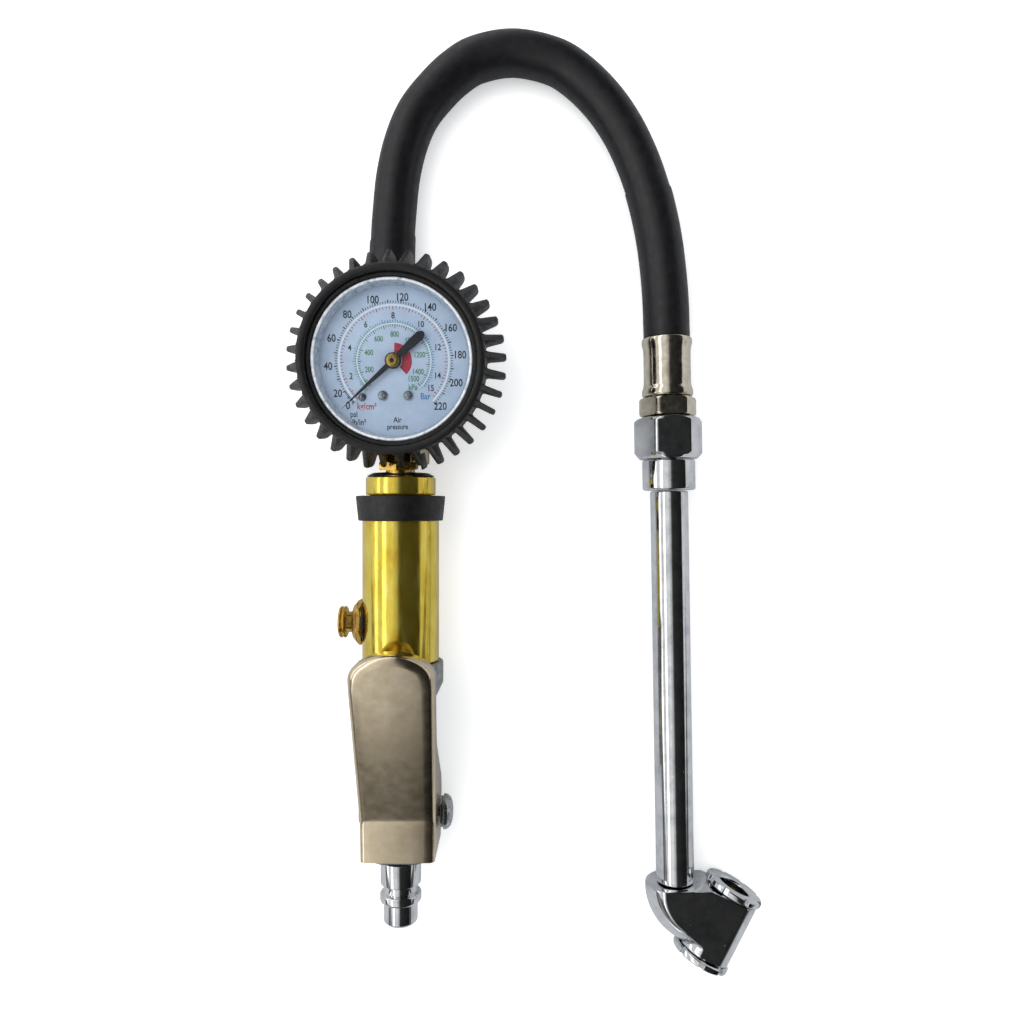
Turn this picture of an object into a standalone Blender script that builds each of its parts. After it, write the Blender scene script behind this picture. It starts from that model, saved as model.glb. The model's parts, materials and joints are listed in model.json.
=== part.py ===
"""Tyre inflator with gauge: a grip with a trigger lever, a dial gauge, a short hose and a dual-foot chuck.

It lies on its back. The origin is the middle of the body's flat back pad, +Z rises towards the dial, +Y runs
along the grip towards the gauge, and +X points to the side that the hose returns on. Sizes are in metres.
"""

import math

import bmesh
import bpy
from mathutils import Matrix, Vector

MM = 0.001
GAP = 0.3 * MM  # air left between two pieces that touch

# Handle: everything turned about the grip's axis, which runs along +Y.
AXIS_HEIGHT = 17.0 * MM
TUBE_RADIUS = 11.75 * MM
TUBE_WALL = 2.25 * MM
TUBE_START = 31.4 * MM
TUBE_LENGTH = 50.6 * MM
SPIGOT_CLEARANCE = 0.3 * MM
SPIGOT_DEPTH = 6.4 * MM
COLLAR_RADIUS = TUBE_RADIUS + 1.45 * MM
COLLAR_LENGTH = 6.4 * MM
BODY_HALF_WIDTH = 9.3 * MM
BODY_TOP = 23.0 * MM
BODY_REAR = -29.9 * MM
PAD_HALF_WIDTH = 7.0 * MM
GRIP_RING_LENGTH = 7.6 * MM
GRIP_RING_WALL = 1.2 * MM
GRIP_RING_FLARE = 0.5 * MM
CAP_RADIUS = TUBE_RADIUS - 1.05 * MM
CAP_LENGTH = 5.4 * MM
WASHER_LENGTH = 1.0 * MM
PLUG_CORE_RADIUS = 6.2 * MM
PLUG_RIDGE_RADIUS = 6.35 * MM
PLUG_GROOVE_RADIUS = 4.95 * MM
PLUG_NOSE_RADIUS = 5.2 * MM
PLUG_BORE_RADIUS = 3.2 * MM
PLUG_THREAD_RADIUS = 4.8 * MM
PLUG_THREAD_LENGTH = 5.5 * MM

# Lever: a deep U that turns on a screw through the body.
PIVOT_Y = -18.5 * MM
PIVOT_Z = 9.0 * MM
PIVOT_RADIUS = 1.9 * MM
LEVER_SHEET = 1.4 * MM
LEVER_REAR_HALF = 11.2 * MM
LEVER_FRONT_HALF = 12.3 * MM
LEVER_REAR_Y = -28.0 * MM
LEVER_CREASE_Y = -16.0 * MM
LEVER_SHOULDER_Y = 29.5 * MM
LEVER_TIP_Y = 37.0 * MM
LEVER_FLAT_TOP = 25.6 * MM
LEVER_SLOPE = math.radians(18.0)
LEVER_SKIRT = 8.0 * MM
LEVER_FOOT_Z = 4.0 * MM
SCREW_HEAD_RADIUS = 5.4 * MM
SCREW_HEAD_HEIGHT = 3.0 * MM

# Main valve, which the lever presses.
VALVE_Y = 8.0 * MM
VALVE_BORE_RADIUS = 5.2 * MM
VALVE_SEAT_Z = 12.8 * MM
VALVE_BUSH_BORE = 2.2 * MM
VALVE_PIN_RADIUS = 1.7 * MM
VALVE_DISC_RADIUS = 3.8 * MM
VALVE_CAP_TOP = 4.2 * MM
PIN_LEVER_GAP = 0.35 * MM

# Bleed valve on the tube's left side.
BLEED_Y = 43.1 * MM
BLEED_FACE = TUBE_RADIUS - 1.55 * MM
BLEED_GASKET = 0.9 * MM
BLEED_FLANGE = 2.6 * MM
BLEED_FLANGE_RADIUS = 6.6 * MM
BLEED_SHANK_RADIUS = 4.3 * MM
BLEED_SHANK_LENGTH = 4.6 * MM
BLEED_BORE_RADIUS = 3.5 * MM
BLEED_STEM_RADIUS = 1.5 * MM
BUTTON_RADIUS = 4.85 * MM
BUTTON_DISC = 2.1 * MM
BUTTON_NECK_RADIUS = 3.2 * MM
BUTTON_TRAVEL = 2.0 * MM

# Gauge, in its own frame: z is 0 at the boot's front lip and falls towards the back.
GAUGE_SIDE = 0.2 * MM
GAUGE_HEIGHT = 41.0 * MM
GAUGE_TILT = math.radians(6.0)
CASE_RADIUS = 24.9 * MM
BOOT_RADIUS = CASE_RADIUS + 1.8 * MM
BOOT_DEPTH = 21.5 * MM
BOOT_LIP_RADIUS = CASE_RADIUS - 0.4 * MM
BOOT_LIP_DEPTH = 2.4 * MM
BOOT_BACK_WALL = 1.2 * MM
BOOT_BACK_RADIUS = 16.0 * MM
RIB_COUNT = 36
RIB_RADIUS = BOOT_RADIUS + 5.9 * MM
RIB_THICKNESS = 1.8 * MM
RIB_FULL_DEPTH = 12.5 * MM
STEM_SLOT_DEPTH = 9.3 * MM
STEM_SLOT_HALF_WIDTH = 7.2 * MM
CASE_WALL = 0.7 * MM
CASE_FRONT = 5.5 * MM
CASE_BACK = 19.9 * MM
LENS_RADIUS = CASE_RADIUS - 1.9 * MM
LENS_RIM = 0.9 * MM
LENS_FRONT = 2.7 * MM
LENS_BACK = 4.2 * MM
DIAL_DEPTH = 7.8 * MM
DIAL_THICKNESS = 0.5 * MM
DIAL_RADIUS = CASE_RADIUS - 1.1 * MM
POINTER_TIP = LENS_RADIUS - 2.3 * MM
POINTER_TAIL = 12.0 * MM
POINTER_HALF_WIDTH = 1.25 * MM
POINTER_DEPTH = 6.1 * MM
POINTER_THICKNESS = 0.4 * MM
POINTER_HUB_RADIUS = 2.3 * MM
POINTER_REST = math.radians(222.5)
ARBOR_RADIUS = 0.5 * MM
DIAL_SCREWS = {"left": (-3.3 * MM, -9.9 * MM), "right": (4.1 * MM, -9.9 * MM)}
STOP_PIN = (-9.3 * MM, -10.4 * MM)
STEM_DEPTH = 15.2 * MM
STEM_NECK_RADIUS = 3.7 * MM
STEM_HEX_FLAT = 5.55 * MM
STEM_HEX_LENGTH = 2.4 * MM
STEM_THREAD_RADIUS = 4.0 * MM
STEM_THREAD_LENGTH = 6.0 * MM
BOURDON_RADIUS = 17.5 * MM
BOURDON_WIDTH = 6.4 * MM
BOURDON_THICKNESS = 1.6 * MM
GEAR_MODULE = 0.3 * MM
PINION_TEETH = 8
SECTOR_TEETH = 64
GEAR_THICKNESS = 0.6 * MM
SECTOR_DEPTH = 12.0 * MM
SECTOR_BEARING = math.radians(150.0)
LINK_PIN = (-13.2 * MM, 3.4 * MM)

# Hose and its fittings.
HOSE_PORT_Z = 8.0 * MM
HOSE_RADIUS = 7.0 * MM
SLEEVE_RADIUS = 7.1 * MM
FERRULE_RADIUS = 7.9 * MM
FERRULE_WAIST = 7.4 * MM
FERRULE_LENGTH = 18.4 * MM
FERRULE_NECK_LENGTH = 3.2 * MM
HOSE_NECK_RADIUS = 3.3 * MM
NEAR_HEX_FLAT = 7.0 * MM
NEAR_HEX_LENGTH = 6.2 * MM
# Route of the hose between its two ferrules, lying on the surface in one free loop.
HOSE_ROUTE = (  # in mm, and its second number counts from the tube's end
    (-0.2, 35.3, 8), (-0.2, 38.0, 8), (-0.8, 45.0, 7.7), (-2, 53.0, 7.3), (-3.3, 61.5, 7.2),
    (-4, 71.5, 7.2), (-3.9, 82.6, 7.2), (-3.2, 93.0, 7.2), (-2.1, 103.2, 7.2), (0.3, 113.5, 7.2),
    (4.2, 122.8, 7.2), (9.9, 130.2, 7.2), (16.1, 136.2, 7.2), (23.2, 140.5, 7.2), (34.7, 142.6, 7.2),
    (47, 140.2, 7.2), (55.2, 135.4, 7.2), (63.4, 127.4, 7.2), (69.7, 118.4, 7.2), (74.6, 108.3, 7.2),
    (78.2, 98.0, 7.2), (80.7, 87.7, 7.4), (82.3, 77.4, 7.9), (83.3, 64.5, 9.1), (83.66, 53.2, 9.5),
    (83.7, 50.4, 9.5),
)
HOSE_STEPS = 2  # straight pieces between two points of the route
SLEEVE_NEAR_STEPS = 12
SLEEVE_FAR_STEPS = 10

# Arm: its frame starts where the hose enters the far ferrule, and its z runs down to the chuck.
ARM_LEAN = math.radians(0.9)
FAR_HEX_FLAT = 8.0 * MM
FAR_HEX_LENGTH = 6.1 * MM
NUT_FLAT = 9.5 * MM
NUT_LENGTH = 13.1 * MM
GLAND_RADIUS = 8.3 * MM
GLAND_LENGTH = 9.6 * MM
EXTENSION_RADIUS = 5.95 * MM
EXTENSION_BORE = 3.6 * MM
EXTENSION_LENGTH = 124.2 * MM
EXTENSION_SPIGOT = 6.0 * MM

# Chuck: two mouths on one axis that leans from the arm.
CHUCK_SIDE = 13.1 * MM
CHUCK_DROP = 13.3 * MM
CHUCK_LEAN = math.radians(27.9)
CHUCK_HALF_LENGTH = 10.2 * MM
CHUCK_RADIUS = 8.6 * MM
CHUCK_HALF_THICKNESS = 8.0 * MM
CHUCK_BORE = 6.4 * MM
CHUCK_WEB = 0.7 * MM
BOSS_RADIUS = 8.2 * MM
RING_RADIUS = 9.2 * MM
RING_THICKNESS = 2.2 * MM
RING_MOUTH = 4.9 * MM
RING_SKIRT = 3.9 * MM
SEAL_THICKNESS = 1.4 * MM
SEAL_BORE = 3.0 * MM
POPPET_RADIUS = 4.6 * MM
POPPET_DISC = 1.3 * MM
POPPET_PIN_RADIUS = 1.1 * MM
POPPET_PIN_LENGTH = 2.0 * MM

# Places that follow from the sizes above.
TUBE_BORE = TUBE_RADIUS - TUBE_WALL
TUBE_END = TUBE_START + TUBE_LENGTH
SPIGOT_RADIUS = TUBE_BORE - SPIGOT_CLEARANCE
CAP_START = TUBE_END + GAP
CAP_END = CAP_START + CAP_LENGTH
WASHER_START = CAP_END + GAP
WASHER_END = WASHER_START + WASHER_LENGTH
PORT_Z = HOSE_PORT_Z - AXIS_HEIGHT
HEX_TIP = STEM_HEX_FLAT / math.cos(math.radians(30)) * math.sin(GAUGE_TILT)  # how far its leaning corner dips
GAUGE_CENTRE = Vector((GAUGE_SIDE, TUBE_END + RIB_RADIUS + 5.4 * MM, GAUGE_HEIGHT))
STEM_AXIS_Y = GAUGE_CENTRE.y + STEM_DEPTH * math.sin(GAUGE_TILT)
STEM_HEX_END = (STEM_AXIS_Y - WASHER_END - GAP - HEX_TIP) / math.cos(GAUGE_TILT)
STEM_HEX_START = STEM_HEX_END - STEM_HEX_LENGTH
STEM_THREAD_END = STEM_HEX_END + STEM_THREAD_LENGTH
LEVER_RISE = math.tan(LEVER_SLOPE)
HOSE_POINTS = [Vector(point) * MM + Vector((0, TUBE_END, 0)) for point in HOSE_ROUTE]
HOSE_END = HOSE_POINTS[-1]
FERRULE_START = WASHER_END + FERRULE_NECK_LENGTH + NEAR_HEX_LENGTH + GAP
EXTENSION_START = FERRULE_LENGTH + FAR_HEX_LENGTH + NUT_LENGTH + GLAND_LENGTH + 4 * GAP
EXTENSION_END = EXTENSION_START + EXTENSION_LENGTH
CHUCK_START = EXTENSION_END + GAP
SEAL_START = CHUCK_HALF_LENGTH + GAP - RING_SKIRT - GAP - SEAL_THICKNESS
POPPET_START = SEAL_START - GAP - POPPET_DISC


def clear_scene():
    """Remove whatever the file holds, so that the model starts from nothing."""
    for old in list(bpy.data.objects):
        bpy.data.objects.remove(old, do_unlink=True)


def material(name, colour, roughness, metallic=0.0):
    """A Principled material of one colour, made once and shared by the pieces that have it."""
    found = bpy.data.materials.get(name)
    if found:
        return found
    made = bpy.data.materials.new(name)
    made.use_nodes = True
    shader = made.node_tree.nodes["Principled BSDF"]
    shader.inputs["Base Color"].default_value = (*colour, 1.0)
    shader.inputs["Roughness"].default_value = roughness
    shader.inputs["Metallic"].default_value = metallic
    return made


FINISHES = {
    "cast_zinc": ((0.50, 0.50, 0.50), 0.45, 1.0),
    "gold_anodised": ((0.83, 0.60, 0.10), 0.25, 1.0),
    "brass": ((0.72, 0.52, 0.20), 0.30, 1.0),
    "chrome": ((0.75, 0.76, 0.78), 0.10, 1.0),
    "satin_nickel": ((0.58, 0.53, 0.46), 0.30, 1.0),
    "steel": ((0.55, 0.55, 0.56), 0.35, 1.0),
    "black_rubber": ((0.02, 0.02, 0.022), 0.60),
    "black_plastic": ((0.03, 0.03, 0.03), 0.40),
    "clear_plastic": ((0.90, 0.93, 0.95), 0.05),
    "dial_white": ((0.80, 0.84, 0.90), 0.50),
}


def finish(name):
    return material(name, *FINISHES[name])


def frame(name, parent=None, at=(0, 0, 0), turn=(0, 0, 0)):
    """An empty that a group of pieces stands on."""
    empty = bpy.data.objects.new(name, None)
    bpy.context.collection.objects.link(empty)
    empty.parent = parent
    empty.location = at
    empty.rotation_euler = turn
    return empty


def add_mesh(name, mesh, look, parent, at=(0, 0, 0), turn=(0, 0, 0)):
    """Wrap a bmesh in a named object, faces outward and round faces smooth."""
    bmesh.ops.remove_doubles(mesh, verts=mesh.verts, dist=0.0005 * MM)
    bmesh.ops.recalc_face_normals(mesh, faces=mesh.faces)
    data = bpy.data.meshes.new(name)
    mesh.to_mesh(data)
    mesh.free()
    data.shade_smooth()
    data.set_sharp_from_angle(angle=math.radians(35))
    piece = bpy.data.objects.new(name, data)
    bpy.context.collection.objects.link(piece)
    if look:
        data.materials.append(finish(look))
    piece.parent = parent
    piece.location = at
    piece.rotation_euler = turn
    return piece


def add_rings(mesh, rings, closed=False):
    """Join rings of points with faces; a ring of one point is a pole."""
    made = [[mesh.verts.new(point) for point in ring] for ring in rings]
    pairs = list(zip(made, made[1:]))
    if closed:
        pairs.append((made[-1], made[0]))
    for low, high in pairs:
        count = max(len(low), len(high))
        for index in range(count):
            after = (index + 1) % count
            if len(low) == 1:
                mesh.faces.new((low[0], high[after], high[index]))
            elif len(high) == 1:
                mesh.faces.new((low[index], low[after], high[0]))
            else:
                mesh.faces.new((low[index], low[after], high[after], high[index]))
    if not closed:
        for ring in (made[0], made[-1]):
            if len(ring) > 1:
                mesh.faces.new(ring)


def flat_sided(radius, angle, flats):
    """Distance to a polygon's side at an angle, where radius is half the width across flats."""
    if not flats:
        return radius
    step = 2 * math.pi / flats
    return radius / math.cos((angle % step) - step / 2)


def turned_mesh(outline, sides=18):
    """A body turned about z from (radius, z) points; a third value gives a level that many flats."""
    rings = []
    for level in outline:
        radius, height = level[:2]
        flats = level[2] if len(level) > 2 else 0
        if radius == 0:
            rings.append([Vector((0, 0, height))])
            continue
        ring = []
        for index in range(sides):
            angle = 2 * math.pi * index / sides
            reach = flat_sided(radius, angle, flats)
            ring.append(Vector((reach * math.cos(angle), reach * math.sin(angle), height)))
        rings.append(ring)
    mesh = bmesh.new()
    solid = outline[0][0] == 0 and outline[-1][0] == 0
    add_rings(mesh, rings, closed=not solid)
    return mesh


def turned(name, outline, look, parent, at=(0, 0, 0), turn=(0, 0, 0), sides=18):
    return add_mesh(name, turned_mesh(outline, sides), look, parent, at, turn)


def rod_outline(radius, low, high):
    return [(0, low), (radius, low), (radius, high), (0, high)]


def tube_outline(outer, inner, low, high):
    return [(outer, low), (outer, high), (inner, high), (inner, low)]


def prism_mesh(outline, low, high):
    """A flat outline of (x, y) points extruded from z low to z high."""
    mesh = bmesh.new()
    face = mesh.faces.new([mesh.verts.new((x, y, low)) for x, y in outline])
    lifted = bmesh.ops.extrude_face_region(mesh, geom=[face])["geom"]
    moved = [item for item in lifted if isinstance(item, bmesh.types.BMVert)]
    bmesh.ops.translate(mesh, verts=moved, vec=(0, 0, high - low))
    return mesh


def block_mesh(low, high):
    """A box between two corners."""
    mesh = bmesh.new()
    size = Vector(high) - Vector(low)
    middle = (Vector(high) + Vector(low)) / 2
    bmesh.ops.create_cube(mesh, size=1.0, matrix=Matrix.Translation(middle) @ Matrix.Diagonal((*size, 1)))
    return mesh


def rod_between(start, end, radius, sides=10):
    """A round rod between two points."""
    start = Vector(start)
    along = Vector(end) - start
    mesh = turned_mesh(rod_outline(radius, 0, along.length), sides)
    spin = along.to_track_quat("Z", "Y").to_matrix().to_4x4()
    bmesh.ops.transform(mesh, verts=mesh.verts, matrix=Matrix.Translation(start) @ spin)
    return mesh


def combine(piece, mesh, operation, parent=None, at=(0, 0, 0), turn=(0, 0, 0)):
    """Join a second shape to a piece, or cut it away, with a Boolean modifier."""
    count = sum(1 for modifier in piece.modifiers if modifier.type == "BOOLEAN")
    tool = add_mesh(f"{piece.name}_tool_{count}", mesh, None, parent or piece.parent, at, turn)
    tool.hide_render = True
    tool.display_type = "WIRE"
    modifier = piece.modifiers.new(f"{operation.lower()}_{count}", "BOOLEAN")
    modifier.operation = operation
    modifier.solver = "EXACT"
    modifier.object = tool
    return piece


def cut(piece, mesh, parent=None, at=(0, 0, 0), turn=(0, 0, 0)):
    return combine(piece, mesh, "DIFFERENCE", parent, at, turn)


def join(piece, mesh, parent=None, at=(0, 0, 0), turn=(0, 0, 0)):
    return combine(piece, mesh, "UNION", parent, at, turn)


def wire(name, points, radius, look, parent, resolution=0):
    """A round wire or hose along a list of points, with filled ends."""
    curve = bpy.data.curves.new(name, "CURVE")
    curve.dimensions = "3D"
    curve.bevel_depth = radius
    curve.bevel_resolution = resolution
    curve.use_fill_caps = True
    spline = curve.splines.new("POLY")
    spline.points.add(len(points) - 1)
    for slot, point in zip(spline.points, points):
        slot.co = (*point, 1.0)
    curve.materials.append(finish(look))
    piece = bpy.data.objects.new(name, curve)
    bpy.context.collection.objects.link(piece)
    piece.parent = parent
    return piece


def coil_points(radius, low, high, turns, steps=8):
    """Points of a spring's wire, from z low to z high."""
    count = int(turns * steps)
    points = []
    for index in range(count + 1):
        angle = 2 * math.pi * index / steps
        height = low + (high - low) * index / count
        points.append(Vector((radius * math.cos(angle), radius * math.sin(angle), height)))
    return points


def arc(centre, radius, start, end, steps):
    """Points along an arc in the xy plane; angles in degrees."""
    points = []
    for index in range(steps + 1):
        angle = math.radians(start + (end - start) * index / steps)
        points.append((centre[0] + radius * math.cos(angle), centre[1] + radius * math.sin(angle)))
    return points


def lever_top(y):
    """Height of the lever's outer face above the surface, at a place along the grip."""
    return LEVER_FLAT_TOP + max(0.0, y - LEVER_CREASE_Y) * LEVER_RISE


def along_handle(point):
    """A point of the model, in the handle's frame, whose z runs along the grip."""
    x, y, z = point
    return Vector((x, AXIS_HEIGHT - z, y))


def build_body(handle):
    """Die-cast body: a block for the lever with a flat back pad, and the collar and spigot for the tube."""
    side = BODY_HALF_WIDTH
    pad = PAD_HALF_WIDTH
    section = [(-side, 3.0 * MM), (-pad, 0), (pad, 0), (side, 3.0 * MM), (side, 20.5 * MM),
               (5.5 * MM, BODY_TOP), (-5.5 * MM, BODY_TOP), (-side, 20.5 * MM)]
    block = prism_mesh([(x, AXIS_HEIGHT - z) for x, z in section], BODY_REAR, TUBE_START - COLLAR_LENGTH)
    body = add_mesh("valve_body", block, "cast_zinc", handle)
    collar_start = TUBE_START - COLLAR_LENGTH - GAP
    spigot_end = TUBE_START + SPIGOT_DEPTH
    collar = [(0, collar_start - 12 * MM), (7.5 * MM, collar_start - 12 * MM), (COLLAR_RADIUS, collar_start),
              (COLLAR_RADIUS, TUBE_START - GAP), (SPIGOT_RADIUS, TUBE_START - GAP),
              (SPIGOT_RADIUS, spigot_end), (0, spigot_end)]
    join(body, turned_mesh(collar, 24))
    plug_bore = BODY_REAR + PLUG_THREAD_LENGTH + GAP
    cut(body, turned_mesh(rod_outline(PLUG_THREAD_RADIUS + GAP, BODY_REAR - MM, plug_bore)))
    cut(body, turned_mesh(rod_outline(2.2 * MM, plug_bore - MM, VALVE_Y - 8 * MM), 12))
    feed_start = along_handle((0, VALVE_Y - 9.5 * MM, AXIS_HEIGHT))
    cut(body, rod_between(feed_start, along_handle((0, VALVE_Y - 3 * MM, 8 * MM)), 2.0 * MM))
    valve = along_handle((0, VALVE_Y, 0))
    lowest = valve + Vector((0, MM, 0))
    highest = valve - Vector((0, BODY_TOP + MM, 0))
    cut(body, rod_between(lowest, highest, VALVE_BORE_RADIUS, 24))
    cut(body, turned_mesh(rod_outline(3.0 * MM, VALVE_Y, spigot_end + MM), 16))
    pivot = along_handle((0, PIVOT_Y, PIVOT_Z))
    across = Vector((side + MM, 0, 0))
    cut(body, rod_between(pivot - across, pivot + across, PIVOT_RADIUS + GAP))
    return body


def build_tube(handle):
    tube = turned("handle_tube", tube_outline(TUBE_RADIUS, TUBE_BORE, TUBE_START, TUBE_END),
                  "gold_anodised", handle, sides=32)
    hole = Vector((-TUBE_RADIUS - MM, 0, BLEED_Y))
    cut(tube, rod_between(hole, (-TUBE_BORE + 4 * MM, 0, BLEED_Y), BLEED_SHANK_RADIUS + GAP, 16))
    cut(tube, rod_between(hole, (-BLEED_FACE, 0, BLEED_Y), BLEED_FLANGE_RADIUS + 2 * GAP, 16))
    inner = TUBE_RADIUS + GAP
    ring_start = TUBE_END - GRIP_RING_LENGTH
    outer = inner + GRIP_RING_WALL
    ring = [(outer - 0.6 * GRIP_RING_FLARE, ring_start), (outer + GRIP_RING_FLARE, TUBE_END),
            (inner, TUBE_END), (inner, ring_start)]
    turned("grip_ring", ring, "black_rubber", handle, sides=32)


def ring_outline(middle, thickness, height):
    """An O-ring's section, turned about z, with six sides."""
    outline = []
    for index in range(6):
        angle = math.radians(60 * index)
        outline.append((middle + thickness * math.cos(angle), height + thickness * math.sin(angle)))
    return outline


def build_cap(handle, gauge):
    """Gold cap with two ports: the gauge's in front, and the hose's behind on a low lug."""
    spigot_start = TUBE_END - SPIGOT_DEPTH
    hollow = 6.0 * MM
    hollow_end = CAP_END - 7 * MM
    outline = [(0, spigot_start), (SPIGOT_RADIUS, spigot_start), (SPIGOT_RADIUS, CAP_START),
               (CAP_RADIUS, CAP_START), (CAP_RADIUS, CAP_END), (0, CAP_END)]
    cap = turned("end_cap", outline, "gold_anodised", handle, sides=24)
    cut(cap, turned_mesh(rod_outline(hollow, spigot_start - MM, hollow_end), 20))
    join(cap, block_mesh((-6 * MM, 0, CAP_START), (6 * MM, AXIS_HEIGHT - MM, CAP_END)))
    port_end = CAP_START + MM
    cut(cap, rod_between((0, -PORT_Z, CAP_END + MM), (0, -PORT_Z, port_end), HOSE_NECK_RADIUS + GAP, 16))
    cut(cap, rod_between((0, -PORT_Z, port_end + MM), (0, 3 * MM, hollow_end - MM), 1.6 * MM))
    cut_stem_port(cap, gauge, hollow_end - MM)
    washer_outline = [(0, WASHER_START), (CAP_RADIUS - 0.4 * MM, WASHER_START),
                      (CAP_RADIUS - 2 * MM, WASHER_END),
                      (0, WASHER_END)]
    washer = turned("cap_washer", washer_outline, "black_plastic", handle, sides=24)
    cut_stem_port(washer, gauge, WASHER_START - MM)
    cut(washer, rod_between((0, -PORT_Z, CAP_END), (0, -PORT_Z, WASHER_END + MM), HOSE_NECK_RADIUS + GAP, 16))
    for name, place in (("tube_oring_lower", TUBE_START + SPIGOT_DEPTH / 2),
                        ("tube_oring_upper", TUBE_END - SPIGOT_DEPTH / 2)):
        spigot = bpy.data.objects["valve_body" if name.endswith("lower") else "end_cap"]
        thickness = 0.6 * MM
        middle = TUBE_BORE - GAP / 2 - thickness
        turned(name, ring_outline(middle, thickness, place), "black_rubber", handle)
        groove = tube_outline(SPIGOT_RADIUS + MM, middle - thickness - GAP / 2, place - MM, place + MM)
        cut(spigot, turned_mesh(groove))


def cut_stem_port(piece, gauge, low):
    """Cut the leaning hole for the gauge's stem, down to a place along the grip."""
    depth = (STEM_AXIS_Y - low) / math.cos(GAUGE_TILT)
    hole = rod_between((0, -STEM_HEX_END, -STEM_DEPTH), (0, -depth, -STEM_DEPTH), STEM_THREAD_RADIUS + GAP,
                       20)
    cut(piece, hole, parent=gauge)


def build_plug(handle):
    """Quick-coupling plug: thread, core, groove, ridge and nose on one bore."""
    core_end = BODY_REAR - 7.4 * MM
    ridge_start = core_end - 2.7 * MM
    ridge_end = ridge_start - 3.2 * MM
    nose_end = ridge_end - 6.5 * MM
    thread_end = BODY_REAR + PLUG_THREAD_LENGTH
    outline = [(PLUG_THREAD_RADIUS, thread_end), (PLUG_THREAD_RADIUS, BODY_REAR - GAP),
               (PLUG_CORE_RADIUS, BODY_REAR - GAP), (PLUG_CORE_RADIUS, core_end),
               (PLUG_GROOVE_RADIUS, core_end - 0.4 * MM), (PLUG_GROOVE_RADIUS, ridge_start + 0.3 * MM),
               (PLUG_RIDGE_RADIUS, ridge_start), (PLUG_RIDGE_RADIUS, ridge_end),
               (PLUG_NOSE_RADIUS, ridge_end - 0.5 * MM), (PLUG_NOSE_RADIUS, nose_end + MM),
               (PLUG_NOSE_RADIUS - MM, nose_end), (PLUG_BORE_RADIUS, nose_end),
               (PLUG_BORE_RADIUS, thread_end)]
    turned("inlet_plug", outline, "chrome", handle, sides=20)


def build_lever(handle):
    """Pressed lever: walls and top of one sheet, made as a solid wedge that a smaller one hollows."""
    lever = add_mesh("lever", lever_solid(0.0), "satin_nickel", handle)
    cut(lever, lever_solid(LEVER_SHEET))
    pivot = along_handle((0, PIVOT_Y, PIVOT_Z))
    across = Vector((LEVER_FRONT_HALF + MM, 0, 0))
    cut(lever, rod_between(pivot - across, pivot + across, PIVOT_RADIUS + GAP, 12))
    washer_start = LEVER_REAR_HALF + 0.5 * MM
    washer_end = washer_start + 0.6 * MM
    side = frame("pivot_axis", handle, pivot, (0, math.radians(90), 0))
    turned("lever_washer", tube_outline(SCREW_HEAD_RADIUS - 0.6 * MM, PIVOT_RADIUS + GAP, washer_start,
                                        washer_end),
           "black_plastic", side)
    head_start = washer_end + GAP
    dome = [(SCREW_HEAD_RADIUS, head_start), (SCREW_HEAD_RADIUS, head_start + 0.8 * MM)]
    for x, y in arc((0, 0), 1.0, 22.5, 90, 3):
        dome.append((SCREW_HEAD_RADIUS * x, head_start + 0.8 * MM + (SCREW_HEAD_HEIGHT - 0.8 * MM) * y))
    dome[-1] = (0, head_start + SCREW_HEAD_HEIGHT)
    nut_start = LEVER_REAR_HALF + 0.5 * MM
    shank_end = -nut_start - 2.6 * MM
    turned("lever_screw", [(0, shank_end), (PIVOT_RADIUS, shank_end), (PIVOT_RADIUS, head_start), *dome],
           "steel", side)
    turned("lever_nut", [(PIVOT_RADIUS + GAP, -nut_start), (PIVOT_RADIUS + GAP, -nut_start - 2.4 * MM),
                         (3.5 * MM, -nut_start - 2.4 * MM, 6), (3.5 * MM, -nut_start, 6)], "steel", side)


def lever_solid(inset):
    """The lever's outer wedge, or its hollow when an inset is given, lofted from skirt to top."""
    plan = []
    steps = 8
    rear = LEVER_REAR_Y - (MM if inset else 0)
    plan.append((LEVER_REAR_HALF - inset, rear))
    plan.append((LEVER_REAR_HALF + 0.25 * (LEVER_FRONT_HALF - LEVER_REAR_HALF) - inset, LEVER_CREASE_Y))
    for index in range(steps + 1):
        angle = math.pi * index / steps
        reach = (LEVER_TIP_Y - LEVER_SHOULDER_Y - inset) * math.sin(angle)
        plan.append(((LEVER_FRONT_HALF - inset) * math.cos(angle), LEVER_SHOULDER_Y + reach))
    plan.append((-plan[1][0], LEVER_CREASE_Y))
    plan.append((-plan[0][0], rear))
    upper = [along_handle((x, y, lever_top(y) - inset)) for x, y in plan]
    foot = [along_handle((x, y, lever_foot(y) - (MM if inset else 0))) for x, y in plan]
    mesh = bmesh.new()
    add_rings(mesh, [foot, upper])
    bmesh.ops.triangulate(mesh, faces=[face for face in mesh.faces if len(face.verts) > 4])
    return mesh


def lever_foot(y):
    """Height of the walls' lower edge: low at the pivot, and a skirt's depth below the top ahead."""
    return max(LEVER_FOOT_Z, lever_top(y) - LEVER_SKIRT - max(0.0, LEVER_CREASE_Y + 24 * MM - y) * 0.9)


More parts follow.
